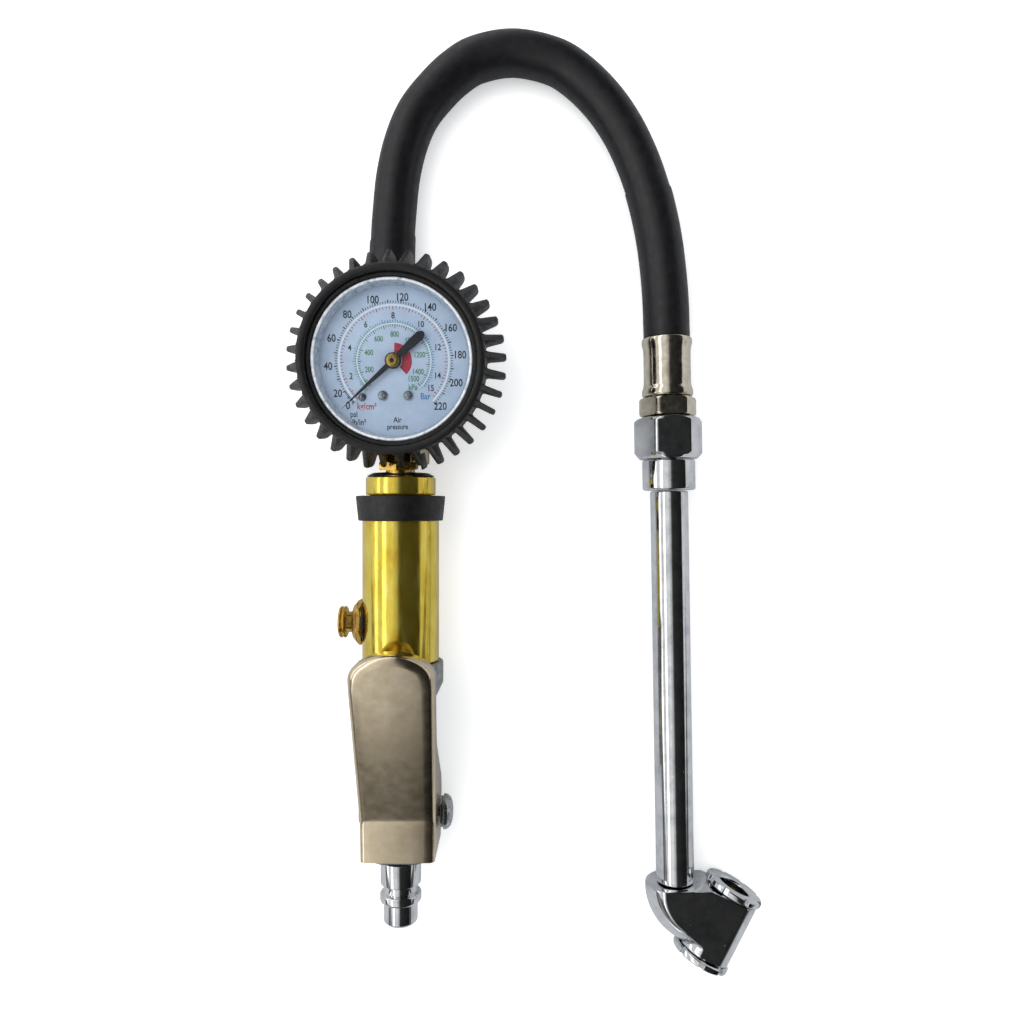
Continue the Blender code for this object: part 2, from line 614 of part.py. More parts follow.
def build_valve(handle):
    """Main valve: bush, pin with its disc, rubber seal, spring and screwed cap, on one upright axis."""
    valve = frame("valve_axis", handle, along_handle((0, VALVE_Y, 0)), (math.radians(90), 0, 0))
    bush_top = BODY_TOP + 0.9 * MM
    bore_radius = VALVE_BORE_RADIUS - GAP
    bush = turned("valve_bush", [(VALVE_BUSH_BORE, VALVE_SEAT_Z), (3.4 * MM, VALVE_SEAT_Z),
                                 (3.4 * MM, 19 * MM),
                                 (bore_radius, 19.5 * MM), (bore_radius, bush_top),
                                 (VALVE_PIN_RADIUS + GAP, bush_top), (VALVE_PIN_RADIUS + GAP, 20.5 * MM),
                                 (VALVE_BUSH_BORE, 20 * MM)], "brass", valve)
    cut(bush, rod_between((0, -4 * MM, 17 * MM), (0, 4 * MM, 17 * MM), 1.2 * MM, 8))
    pin_top = lever_top(VALVE_Y) - LEVER_SHEET / math.cos(LEVER_SLOPE) - PIN_LEVER_GAP
    pin_top -= VALVE_PIN_RADIUS * LEVER_RISE
    disc_top = VALVE_SEAT_Z - 1.2 * MM - GAP
    disc_low = disc_top - 1.3 * MM
    stem = 1.1 * MM
    turned("valve_pin", [(0, disc_low), (VALVE_DISC_RADIUS, disc_low), (VALVE_DISC_RADIUS, disc_top),
                         (stem, disc_top), (stem, 20 * MM), (VALVE_PIN_RADIUS, 20.4 * MM),
                         (VALVE_PIN_RADIUS, pin_top - 0.6 * MM), (VALVE_PIN_RADIUS - 0.6 * MM, pin_top),
                         (0, pin_top)], "steel", valve)
    turned("valve_seal", tube_outline(VALVE_DISC_RADIUS, stem + GAP / 2, disc_top + GAP / 2,
                                      VALVE_SEAT_Z - GAP / 2), "black_rubber", valve)
    wire("valve_spring", coil_points(2.9 * MM, VALVE_CAP_TOP + 0.7 * MM, disc_low - 0.7 * MM, 3), 0.35 * MM,
         "steel", valve)
    cap = turned("valve_cap", rod_outline(VALVE_BORE_RADIUS - GAP, 0.5 * MM, VALVE_CAP_TOP), "brass", valve)
    cut(cap, block_mesh((-4 * MM, -0.5 * MM, -MM), (4 * MM, 0.5 * MM, 1.4 * MM)))


def build_bleed(handle):
    """Bleed valve across the tube's left wall: its z runs outward."""
    bleed = frame("bleed_axis", handle, (0, 0, BLEED_Y), (0, math.radians(-90), 0))
    gasket = BLEED_FACE + GAP
    flange = gasket + BLEED_GASKET + GAP
    face = flange + BLEED_FLANGE
    inner = flange - GAP - BLEED_GASKET - BLEED_SHANK_LENGTH
    turned("bleed_gasket", tube_outline(BLEED_FLANGE_RADIUS - 0.4 * MM, BLEED_SHANK_RADIUS + GAP, gasket,
                                        gasket + BLEED_GASKET), "black_rubber", bleed)
    shoulder = inner + 1.6 * MM
    turned("bleed_body", [(BLEED_STEM_RADIUS + GAP, inner), (BLEED_SHANK_RADIUS, inner),
                          (BLEED_SHANK_RADIUS, flange), (BLEED_FLANGE_RADIUS - 0.4 * MM, flange, 6),
                          (BLEED_FLANGE_RADIUS - 0.5 * MM, flange + 1.2 * MM, 6), (5.0 * MM, face),
                          (BLEED_BORE_RADIUS, face), (BLEED_BORE_RADIUS, shoulder),
                          (BLEED_STEM_RADIUS + GAP, shoulder)], "brass", bleed)
    disc = face + BUTTON_TRAVEL + GAP
    disc_end = disc + BUTTON_DISC
    middle = disc + BUTTON_DISC / 2
    neck = face - 1.4 * MM
    seal = inner - GAP / 2
    stem_end = seal - 1.8 * MM
    turned("bleed_button", [(0, stem_end), (BLEED_STEM_RADIUS + 1.2 * MM, stem_end),
                            (BLEED_STEM_RADIUS + 1.2 * MM, stem_end + 0.6 * MM),
                            (BLEED_STEM_RADIUS, stem_end + 0.6 * MM), (BLEED_STEM_RADIUS, neck),
                            (BUTTON_NECK_RADIUS, neck), (BUTTON_NECK_RADIUS, disc), (BUTTON_RADIUS, disc),
                            (BUTTON_RADIUS, middle - 0.3 * MM), (BUTTON_RADIUS - 0.5 * MM, middle),
                            (BUTTON_RADIUS, middle + 0.3 * MM), (BUTTON_RADIUS, disc_end), (0, disc_end)],
           "brass", bleed)
    turned("bleed_seal", tube_outline(BLEED_STEM_RADIUS + 1.2 * MM, BLEED_STEM_RADIUS + GAP / 2,
                                      stem_end + 0.75 * MM, seal), "black_rubber", bleed)
    wire("bleed_spring", coil_points(2.4 * MM, shoulder + 0.6 * MM, neck - 0.6 * MM, 3), 0.3 * MM, "steel",
         bleed)


def rib_ring(depth, reach):
    """One level of the boot's outline: its round body with 36 ribs that reach out to a radius."""
    ring = []
    for index in range(RIB_COUNT):
        middle = math.radians(3) + 2 * math.pi * index / RIB_COUNT
        for radius, side in ((BOOT_RADIUS, -1.15), (reach, -1), (reach, 1), (BOOT_RADIUS, 1.15)):
            angle = middle + side * 0.5 * RIB_THICKNESS / radius
            ring.append(Vector((radius * math.cos(angle), radius * math.sin(angle), -depth)))
    return ring


def build_boot(gauge):
    """Rubber boot: a ribbed cup that slides over the gauge from the front, with a slot for the stem."""
    mesh = bmesh.new()
    levels = [rib_ring(BOOT_DEPTH, RIB_RADIUS - MM), rib_ring(BOOT_DEPTH - 1.3 * MM, RIB_RADIUS),
              rib_ring(RIB_FULL_DEPTH, RIB_RADIUS), rib_ring(1.2 * MM, BOOT_RADIUS + 0.3 * MM)]
    lip = [Vector(point) for point in levels[-1]]
    for point in lip:
        flat = Vector((point.x, point.y, 0))
        point.xyz = flat.normalized() * (BOOT_RADIUS - 0.8 * MM)
    add_rings(mesh, [*levels, lip])
    boot = add_mesh("gauge_boot", mesh, "black_rubber", gauge)
    inner = CASE_RADIUS + GAP
    back = BOOT_DEPTH - BOOT_BACK_WALL
    hollow = [(0, -BOOT_DEPTH - MM), (BOOT_BACK_RADIUS, -BOOT_DEPTH - MM), (BOOT_BACK_RADIUS, -back),
              (inner, -back), (inner, -BOOT_LIP_DEPTH), (BOOT_LIP_RADIUS, -BOOT_LIP_DEPTH),
              (BOOT_LIP_RADIUS, MM), (0, MM)]
    cut(boot, turned_mesh(hollow, 32))
    slot = STEM_SLOT_HALF_WIDTH
    cut(boot, block_mesh((-slot, -RIB_RADIUS - MM, -BOOT_DEPTH - MM), (slot, -20 * MM, -STEM_SLOT_DEPTH)))


def build_case(gauge):
    """Pressed steel case, the ring that holds the lens, and the lens with its raised rim."""
    back = CASE_BACK - CASE_WALL
    case = turned("gauge_case", [(0, -CASE_BACK), (CASE_RADIUS, -CASE_BACK), (CASE_RADIUS, -CASE_FRONT),
                                 (CASE_RADIUS - CASE_WALL, -CASE_FRONT), (CASE_RADIUS - CASE_WALL, -back),
                                 (0, -back)], "steel", gauge, sides=36)
    cut(case, rod_between((0, -CASE_RADIUS - MM, -STEM_DEPTH), (0, -20 * MM, -STEM_DEPTH),
                          STEM_NECK_RADIUS + GAP, 16))
    ring_in = LENS_RADIUS + GAP
    turned("bezel_ring", tube_outline(CASE_RADIUS - GAP / 2, ring_in, -CASE_FRONT + GAP, -LENS_FRONT),
           "black_plastic", gauge, sides=36)
    rim = LENS_RADIUS - LENS_RIM
    turned("lens", [(0, -LENS_BACK), (LENS_RADIUS, -LENS_BACK), (LENS_RADIUS, -LENS_FRONT),
                    (rim, -LENS_FRONT),
                    (rim, -LENS_BACK + MM), (0, -LENS_BACK + MM)], "clear_plastic", gauge, sides=36)


def build_dial(gauge):
    """Dial plate with its two screws and the zero stop, and the pointer with its brass cap."""
    back = -DIAL_DEPTH - DIAL_THICKNESS
    dial = turned("dial", rod_outline(DIAL_RADIUS, back, -DIAL_DEPTH), "dial_white", gauge, sides=36)
    hole = 0.85 * MM
    places = [(0, 0), STOP_PIN, *DIAL_SCREWS.values()]
    for x, y in places:
        cut(dial, rod_between((x, y, back - MM), (x, y, MM - DIAL_DEPTH), hole))
    shank = 0.55 * MM
    for side, (x, y) in DIAL_SCREWS.items():
        low = back - 1.6 * MM
        seat = GAP - DIAL_DEPTH
        turned(f"dial_screw_{side}", [(0, low), (shank, low), (shank, seat), (1.45 * MM, seat),
                                      (1.3 * MM, seat + 0.5 * MM), (0, seat + 0.6 * MM)],
               "steel", gauge, (x, y, 0), sides=16)
    turned("stop_pin", rod_outline(shank, back - 0.6 * MM, GAP - POINTER_DEPTH), "steel", gauge,
           (*STOP_PIN, 0), sides=12)


def build_pointer(gauge):
    """Pointer blade on its hub, resting at the scale's zero; its origin is on the arbor's axis."""
    spindle = frame("pointer_axis", gauge, (0, 0, 0), (0, 0, POINTER_REST))
    wide = POINTER_HALF_WIDTH
    tail = -POINTER_TAIL
    blade = [(POINTER_TIP, 0), (4 * MM, -0.8 * MM), (tail + 1.6 * MM, -wide), (tail, 0),
             (tail + 1.6 * MM, wide), (4 * MM, 0.8 * MM)]
    pointer = add_mesh("pointer", prism_mesh(blade, -POINTER_DEPTH, POINTER_THICKNESS - POINTER_DEPTH),
                       "black_plastic", spindle)
    hub_top = POINTER_THICKNESS - POINTER_DEPTH + 0.4 * MM
    join(pointer, turned_mesh(rod_outline(POINTER_HUB_RADIUS, -POINTER_DEPTH - 0.3 * MM, hub_top), 20))
    cut(pointer, turned_mesh(rod_outline(ARBOR_RADIUS + GAP / 2, -POINTER_DEPTH - MM, hub_top + MM), 12))
    cap_low = hub_top + GAP
    turned("pointer_cap", [(0, cap_low), (2.0 * MM, cap_low), (1.7 * MM, cap_low + 0.5 * MM),
                           (0, cap_low + 0.6 * MM)], "brass", spindle, sides=20)
    return spindle, hub_top


def gear_outline(teeth, first, last, hub=()):
    """Simple straight-sided teeth from one tooth to another, then back round the hub's points."""
    pitch = GEAR_MODULE * teeth / 2
    points = []
    for tooth in range(first, last + 1):
        middle = 2 * math.pi * tooth / teeth
        for radius, side in ((pitch - 1.1 * GEAR_MODULE, -0.26), (pitch + 0.7 * GEAR_MODULE, -0.11),
                             (pitch + 0.7 * GEAR_MODULE, 0.11), (pitch - 1.1 * GEAR_MODULE, 0.26)):
            angle = middle + side * 2 * math.pi / teeth
            points.append((radius * math.cos(angle), radius * math.sin(angle)))
    points.extend(hub)
    return points


def build_movement(gauge, spindle, hub_top):
    """Movement behind the dial: two plates, the pinion on the pointer's arbor, the sector and its link."""
    distance = GEAR_MODULE * (PINION_TEETH + SECTOR_TEETH) / 2
    pivot = Vector((distance * math.cos(SECTOR_BEARING), distance * math.sin(SECTOR_BEARING), 0))
    front = -DIAL_DEPTH - DIAL_THICKNESS - 1.3 * MM
    back = -14.4 * MM
    wall = 0.6 * MM
    plan = [(-6 * MM, -12.6 * MM), (6 * MM, -12.6 * MM), (5 * MM, 3.4 * MM), (-5.5 * MM, 9 * MM),
            (-12 * MM, 8 * MM), (-12.2 * MM, 3 * MM), (-5.5 * MM, -4 * MM)]
    pillars = [(-4.6 * MM, -11.4 * MM), (4.6 * MM, -11.4 * MM)]
    for name, low in (("movement_plate_front", front - wall), ("movement_plate_back", back - wall)):
        plate = add_mesh(name, prism_mesh(plan, low, low + wall), "brass", gauge)
        for x, y, radius in ((0, 0, ARBOR_RADIUS + GAP / 2), (pivot.x, pivot.y, 0.65 * MM)):
            cut(plate, rod_between((x, y, low - MM), (x, y, low + wall + MM), radius))
    for x, y in DIAL_SCREWS.values():
        cut(bpy.data.objects["movement_plate_front"],
            rod_between((x, y, front - 2 * MM), (x, y, front + MM), 0.85 * MM))
    for x, y in pillars:
        join(bpy.data.objects["movement_plate_back"],
             rod_between((x, y, back - wall / 2), (x, y, front - wall - GAP), 0.9 * MM))
    low = -SECTOR_DEPTH - GEAR_THICKNESS
    turn_to_centre = SECTOR_BEARING + math.pi
    sector_axis = frame("sector_axis", gauge, pivot, (0, 0, turn_to_centre))
    tail = Vector((*LINK_PIN, 0)) - pivot
    tail.rotate(Matrix.Rotation(-turn_to_centre, 3, "Z"))
    hub = [(0.5 * MM, 1.5 * MM), (-1.3 * MM, 0.9 * MM), (tail.x - 1.2 * MM, tail.y + 0.5 * MM),
           (tail.x - 0.9 * MM, tail.y - 0.9 * MM), (tail.x + 0.6 * MM, tail.y - 1.1 * MM),
           (1.3 * MM, -1.6 * MM)]
    teeth = gear_outline(SECTOR_TEETH, -8, 2, hub)
    sector = add_mesh("sector_gear", prism_mesh(teeth, low, -SECTOR_DEPTH), "brass", sector_axis)
    join(sector, turned_mesh(rod_outline(0.45 * MM, back - wall, front), 12))
    cut(sector, rod_between((*tail.xy, low - MM), (*tail.xy, MM - SECTOR_DEPTH), 0.45 * MM, 10))
    pinion = prism_mesh(gear_outline(PINION_TEETH, 0, PINION_TEETH - 1), low - 0.4 * MM,
                        0.4 * MM - SECTOR_DEPTH)
    mesh_angle = SECTOR_BEARING - POINTER_REST + math.pi / PINION_TEETH
    arbor = add_mesh("pinion_arbor", pinion, "steel", spindle, turn=(0, 0, mesh_angle))
    join(arbor, turned_mesh(rod_outline(ARBOR_RADIUS, back - wall, hub_top), 12), parent=spindle)
    build_link(gauge, low)
    build_hairspring(gauge)


def build_link(gauge, low):
    """Link between the sector's tail and the pressure tube's tip; its origin is on the tail's pin."""
    link_axis = frame("link_axis", gauge, (*LINK_PIN, 0))
    half = 0.7 * MM
    length = 10.5 * MM
    top = low - GAP
    plan = [(-half, half), (-half, -length), (half, -length), (half, half)]
    link = add_mesh("link_bar", prism_mesh(plan, top - 0.5 * MM, top), "brass", link_axis)
    join(link, turned_mesh(rod_outline(0.3 * MM, top - 0.25 * MM, low + GEAR_THICKNESS), 8))


def build_hairspring(gauge):
    points = []
    turns = 2.25
    steps = 10
    count = int(turns * steps)
    height = -10.9 * MM
    for index in range(count + 1):
        angle = 2 * math.pi * index / steps
        radius = 1.4 * MM + 2.0 * MM * index / count
        points.append(Vector((radius * math.cos(angle), radius * math.sin(angle), height)))
    wire("hairspring", points, 0.12 * MM, "brass", gauge)


def build_bourdon(gauge):
    """Flat pressure tube bent to a C, closed at its tip, and the socket with stem, hexagon and thread."""
    middle = -SECTOR_DEPTH - 2.0 * MM
    start = -58
    end = 205
    steps = 20
    rings = []
    half = BOURDON_WIDTH / 2
    thick = BOURDON_THICKNESS / 2
    for index in range(steps + 1):
        angle = math.radians(start + (end - start) * index / steps)
        out = Vector((math.cos(angle), math.sin(angle), 0))
        ring = []
        for across, along in ((1, 0.6), (0.3, 1), (-0.3, 1), (-1, 0.6), (-1, -0.6), (-0.3, -1), (0.3, -1),
                              (1, -0.6)):
            place = out * (BOURDON_RADIUS + across * thick)
            place.z = middle + along * half
            ring.append(place)
        rings.append(ring)
    mesh = bmesh.new()
    add_rings(mesh, rings)
    add_mesh("bourdon_tube", mesh, "brass", gauge)
    stem = frame("stem_axis", gauge, (0, 0, -STEM_DEPTH), (math.radians(90), 0, 0))
    outline = [(0, 16 * MM), (STEM_NECK_RADIUS, 16 * MM), (STEM_NECK_RADIUS, STEM_HEX_START),
               (STEM_HEX_FLAT, STEM_HEX_START, 6), (STEM_HEX_FLAT, STEM_HEX_END, 6),
               (STEM_THREAD_RADIUS, STEM_HEX_END), (STEM_THREAD_RADIUS, STEM_THREAD_END),
               (0, STEM_THREAD_END)]
    socket = turned("bourdon_socket", outline, "brass", stem)
    join(socket, block_mesh((-6 * MM, -21.5 * MM, -18.6 * MM), (8.6 * MM, -11.4 * MM, -15.3 * MM)),
         parent=gauge)
    join(socket, block_mesh((-6 * MM, -21.5 * MM, -18.6 * MM), (8.6 * MM, -14.6 * MM, -10.8 * MM)),
         parent=gauge)
    cut(socket, turned_mesh(rod_outline(1.5 * MM, 19 * MM, STEM_THREAD_END + MM), 10), parent=stem)


def smooth_route(points, steps):
    """Points read from the smooth curve (Catmull-Rom) through a route's own points."""
    route = [Vector(point) for point in points]
    ends = [route[0] * 2 - route[1], *route, route[-1] * 2 - route[-2]]
    smooth = []
    for index in range(len(route) - 1):
        p0, p1, p2, p3 = ends[index:index + 4]
        for step in range(steps):
            t = step / steps
            smooth.append(0.5 * (2 * p1 + (p2 - p0) * t + (2 * p0 - 5 * p1 + 4 * p2 - p3) * t * t
                                 + (3 * p1 - p0 - 3 * p2 + p3) * t ** 3))
    smooth.append(route[-1])
    return smooth


def shortened(points, start, end):
    """A run of points with its first and last point moved in, to leave air at each end."""
    run = [Vector(point) for point in points]
    run[0] += (run[1] - run[0]).normalized() * start
    run[-1] += (run[-2] - run[-1]).normalized() * end
    return run


def ferrule_outline(length):
    """Crimped ferrule: two flared ends and a waist."""
    flare = 2.6 * MM
    lip = 0.7 * MM
    return [(0, 0), (FERRULE_RADIUS, 0), (FERRULE_RADIUS, lip), (FERRULE_WAIST, flare),
            (FERRULE_WAIST, length - flare), (FERRULE_RADIUS, length - lip), (FERRULE_RADIUS, length),
            (0, length)]


def build_hose(handle, arm):
    """The hose in one loop, a sleeve at each end, and the crimped fittings that it meets."""
    points = smooth_route(HOSE_POINTS, HOSE_STEPS)
    near = points[:SLEEVE_NEAR_STEPS + 1]
    middle = points[SLEEVE_NEAR_STEPS:-SLEEVE_FAR_STEPS]
    far = points[-SLEEVE_FAR_STEPS - 1:]
    half = GAP
    wire("hose_sleeve_near", shortened(near, 0, half), SLEEVE_RADIUS, "black_rubber", None, 2)
    wire("hose", shortened(middle, half, half), HOSE_RADIUS, "black_rubber", None, 2)
    wire("hose_sleeve_far", shortened(far, half, 0), SLEEVE_RADIUS, "black_rubber", None, 2)
    port = frame("hose_port", handle, (HOSE_POINTS[0].x, -PORT_Z, 0))
    hex_start = WASHER_END + FERRULE_NECK_LENGTH
    hex_end = hex_start + NEAR_HEX_LENGTH
    thread_end = CAP_START + 1.6 * MM
    turned("hose_fitting_near", [(1.6 * MM, thread_end), (HOSE_NECK_RADIUS, thread_end),
                                 (HOSE_NECK_RADIUS, hex_start), (NEAR_HEX_FLAT, hex_start, 6),
                                 (NEAR_HEX_FLAT, hex_end, 6), (1.6 * MM, hex_end)],
           "brass", port)
    turned("hose_ferrule_near", ferrule_outline(HOSE_POINTS[0].y - GAP - FERRULE_START), "satin_nickel",
           port, (0, 0, FERRULE_START))
    turned("hose_ferrule_far", ferrule_outline(FERRULE_LENGTH), "satin_nickel", arm, (0, 0, GAP))


def build_arm(arm):
    """Rigid arm: the hose fitting's hexagon, the big nut, its gland and the long extension pipe."""
    start = FERRULE_LENGTH + 2 * GAP
    end = start + FAR_HEX_LENGTH
    turned("hose_fitting_far", [(2.2 * MM, start), (FAR_HEX_FLAT, start, 6),
                                (FAR_HEX_FLAT, end - 0.8 * MM, 6),
                                (FAR_HEX_FLAT - 0.6 * MM, end), (2.2 * MM, end)], "satin_nickel", arm)
    start = end + GAP
    end = start + NUT_LENGTH
    chamfer = 1.6 * MM
    turned("coupling_nut", [(4.2 * MM, start), (NUT_FLAT - 0.4 * MM, start), (NUT_FLAT, start + chamfer, 6),
                            (NUT_FLAT, end - chamfer, 6), (NUT_FLAT - 0.4 * MM, end), (4.2 * MM, end)],
           "chrome", arm)
    start = end + GAP
    end = start + GLAND_LENGTH
    turned("arm_gland", [(4.2 * MM, start), (GLAND_RADIUS, start), (GLAND_RADIUS, end - 0.6 * MM),
                         (GLAND_RADIUS - 0.6 * MM, end), (4.2 * MM, end)], "chrome", arm)
    spigot = EXTENSION_BORE + 0.9 * MM
    turned("extension_tube", [(EXTENSION_BORE - MM, EXTENSION_START), (EXTENSION_RADIUS, EXTENSION_START),
                              (EXTENSION_RADIUS, EXTENSION_END), (spigot, EXTENSION_END),
                              (spigot, EXTENSION_END + EXTENSION_SPIGOT),
                              (EXTENSION_BORE - MM, EXTENSION_END + EXTENSION_SPIGOT)], "chrome", arm,
                              sides=20)


def build_chuck(arm):
    """Chuck head with its boss on the arm, a flat-faced body and a barrel with two mouths."""
    centre = Vector((CHUCK_SIDE, 0, EXTENSION_END + CHUCK_DROP))
    along = Vector((-math.sin(CHUCK_LEAN), 0, math.cos(CHUCK_LEAN)))
    across = Vector((-math.cos(CHUCK_LEAN), 0, -math.sin(CHUCK_LEAN)))

    def place(down, side):
        point = centre + along * down * CHUCK_HALF_LENGTH + across * side * CHUCK_RADIUS
        return point.x, point.z

    upright = frame("chuck_plane", arm, (0, 0, 0), (math.radians(-90), 0, 0))
    top = CHUCK_START + 1.5 * MM
    face = [(-BOSS_RADIUS + MM, top), (-BOSS_RADIUS + 3.2 * MM, top + 7 * MM), (-3.4 * MM, top + 12.3 * MM),
            place(1, 1), place(1, -0.3), place(-1, -0.3), place(-1, 1)]
    half = CHUCK_HALF_THICKNESS
    head = add_mesh("chuck_head", prism_mesh([(x, -z) for x, z in face], -half, half), "chrome", upright)
    join(head, turned_mesh(rod_outline(BOSS_RADIUS, CHUCK_START, CHUCK_START + 5 * MM)), parent=arm)
    reach = along * CHUCK_HALF_LENGTH
    join(head, rod_between(centre - reach, centre + reach, CHUCK_RADIUS, 24), parent=arm)
    for side in (-1, 1):
        web = along * CHUCK_WEB * side
        cut(head, rod_between(centre + web, centre + along * side * (CHUCK_HALF_LENGTH + MM), CHUCK_BORE, 24),
            parent=arm)
    cut(head, rod_between(centre - along * 2 * CHUCK_WEB, centre + along * 2 * CHUCK_WEB, 1.6 * MM),
        parent=arm)
    bore_end = EXTENSION_END + EXTENSION_SPIGOT + GAP
    cut(head, rod_between((0, 0, EXTENSION_END - MM), (0, 0, bore_end), EXTENSION_BORE + 0.9 * MM + GAP, 16),
        parent=arm)
    cut(head, rod_between((0, 0, bore_end - MM), (CHUCK_SIDE - 4 * MM, 0, centre.z - 2 * MM), 1.8 * MM),
        parent=arm)
    for name, turn in (("upper", math.pi - CHUCK_LEAN), ("lower", -CHUCK_LEAN)):
        mouth = frame(f"mouth_{name}", arm, centre, (0, turn, 0))
        build_mouth(name, mouth)


def build_mouth(name, mouth):
    """One mouth of the chuck: notched ring, rubber seal, and a sprung poppet with its pin."""
    flange = CHUCK_HALF_LENGTH + GAP
    skirt = CHUCK_BORE - GAP
    end = flange + RING_THICKNESS
    low = flange - RING_SKIRT
    ring = turned(f"chuck_ring_{name}", [(RING_MOUTH, low), (skirt, low), (skirt, flange),
                                         (RING_RADIUS, flange),
                                         (RING_RADIUS, end - 0.5 * MM), (RING_RADIUS - 0.5 * MM, end),
                                         (RING_MOUTH, end)], "chrome", mouth, sides=24)
    notch = 1.1 * MM
    for turn in (0, math.pi / 2):
        block = block_mesh((-notch, -RING_RADIUS - MM, flange + MM), (notch, RING_RADIUS + MM, end + MM))
        cut(ring, block, parent=mouth, turn=(0, 0, turn))
    turned(f"chuck_seal_{name}", tube_outline(skirt, SEAL_BORE, SEAL_START, SEAL_START + SEAL_THICKNESS),
           "black_rubber", mouth)
    disc_end = POPPET_START + POPPET_DISC
    pin_end = disc_end + POPPET_PIN_LENGTH
    turned(f"poppet_{name}", [(0, POPPET_START), (POPPET_RADIUS, POPPET_START), (POPPET_RADIUS, disc_end),
                              (POPPET_PIN_RADIUS, disc_end), (POPPET_PIN_RADIUS, pin_end), (0, pin_end)],
           "brass", mouth, sides=20)
    wire(f"poppet_spring_{name}", coil_points(3.4 * MM, CHUCK_WEB + 0.6 * MM, POPPET_START - 0.6 * MM, 2),
         0.3 * MM, "steel", mouth)


def build():
    clear_scene()
    handle = frame("handle_frame", at=(0, 0, AXIS_HEIGHT), turn=(math.radians(-90), 0, 0))
    gauge = frame("gauge_frame", at=GAUGE_CENTRE, turn=(GAUGE_TILT, 0, 0))
    arm = frame("arm_frame", at=HOSE_END, turn=(math.radians(90), 0, ARM_LEAN))
    build_body(handle)
    build_tube(handle)
    build_cap(handle, gauge)
    build_plug(handle)
    build_lever(handle)
    build_valve(handle)
    build_bleed(handle)
    build_boot(gauge)
    build_case(gauge)
    build_dial(gauge)
    spindle, hub_top = build_pointer(gauge)
    build_movement(gauge, spindle, hub_top)
    build_bourdon(gauge)
    build_hose(handle, arm)
    build_arm(arm)
    build_chuck(arm)


build()
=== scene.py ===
# %% [markdown]
# # A tyre inflator with its gauge, from a fixed frame to a finished look
#
# A workshop tyre inflator is a die-cast grip with a squeeze lever, a rubber-booted pressure gauge, a short
# rubber hose and a rigid chrome arm that ends in a two-way chuck. Its CAD model is loaded first and never
# changes: it says where everything is and how it moves. This lesson then builds what the eye sees, one
# piece and one finish at a time, and lets each piece ride on the CAD body it belongs to.

# %% Load the frame
import json
import math

import bmesh
import bpy
from mathutils import Matrix, Vector


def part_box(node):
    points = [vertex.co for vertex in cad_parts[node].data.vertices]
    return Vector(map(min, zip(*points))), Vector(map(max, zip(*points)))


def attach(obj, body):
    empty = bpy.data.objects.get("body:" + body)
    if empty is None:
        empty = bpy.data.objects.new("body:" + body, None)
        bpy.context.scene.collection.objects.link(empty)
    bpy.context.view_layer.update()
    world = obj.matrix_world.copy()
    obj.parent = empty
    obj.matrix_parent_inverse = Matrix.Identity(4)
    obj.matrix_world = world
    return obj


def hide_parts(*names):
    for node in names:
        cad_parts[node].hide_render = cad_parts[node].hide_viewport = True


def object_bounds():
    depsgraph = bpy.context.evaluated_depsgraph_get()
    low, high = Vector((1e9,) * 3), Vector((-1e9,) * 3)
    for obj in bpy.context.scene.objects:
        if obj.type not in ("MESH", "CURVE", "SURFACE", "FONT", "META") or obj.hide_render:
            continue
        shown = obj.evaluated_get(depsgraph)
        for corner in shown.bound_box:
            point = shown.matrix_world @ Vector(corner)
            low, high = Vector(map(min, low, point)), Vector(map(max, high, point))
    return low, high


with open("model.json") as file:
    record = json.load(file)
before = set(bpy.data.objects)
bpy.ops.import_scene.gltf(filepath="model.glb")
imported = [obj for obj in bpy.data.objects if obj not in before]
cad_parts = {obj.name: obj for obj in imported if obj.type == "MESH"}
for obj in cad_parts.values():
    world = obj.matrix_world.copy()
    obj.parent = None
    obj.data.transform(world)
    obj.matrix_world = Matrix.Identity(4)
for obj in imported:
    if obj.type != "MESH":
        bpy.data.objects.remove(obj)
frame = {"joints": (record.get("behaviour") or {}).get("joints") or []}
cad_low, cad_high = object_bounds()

MM = 0.001
print("size of the CAD model in mm:", [round(side / MM, 1) for side in cad_high - cad_low])

# %% [markdown]
# ## The camera
#
# The inflator lies on its back on a table and is looked at from straight above, from quite near, so that
# tall pieces such as the gauge look a little larger than the hose. It aims just beside the middle of the
# CAD box.

# %% Put the camera above the middle of the object
CAMERA_HEIGHT = 270 * MM
VIEW_ACROSS = 1.2534  # the width that the camera sees, for each unit of distance
AIM_LEFT = 6.05 * MM
AIM_DOWN = 4.5 * MM
middle = (cad_low + cad_high) / 2
camera_data = bpy.data.cameras.new("camera")
camera_data.sensor_width = 36
camera_data.lens = camera_data.sensor_width / VIEW_ACROSS
camera = bpy.data.objects.new("camera", camera_data)
camera.location = (middle.x - AIM_LEFT, middle.y - AIM_DOWN, CAMERA_HEIGHT)
bpy.context.collection.objects.link(camera)
bpy.context.scene.camera = camera
bpy.context.scene.view_settings.view_transform = "Standard"
print("camera over x, y in mm:", [round(value / MM, 1) for value in camera.location.xy])

# %% [markdown]
# ## The floor and the studio
#
# Polished metal shows its surroundings more than itself. A product studio therefore hangs long white panels
# on one side and leaves a dark gap on the other, and the reflections of both run along every tube as bright
# and dark bands. Here the world is that studio: glossy rays see its panels, while other rays see plain soft
# light, which keeps the pale floor even. One large soft lamp adds a gentle direction to the shading.

# %% A helper for colours, and one that adds a shader node
def linear(hex_text):
    """An sRGB hex colour as the linear RGBA that sockets expect."""
    channels = [int(hex_text[start:start + 2], 16) / 255 for start in (1, 3, 5)]
    return (*[c / 12.92 if c <= 0.04045 else ((c + 0.055) / 1.055) ** 2.4 for c in channels], 1.0)


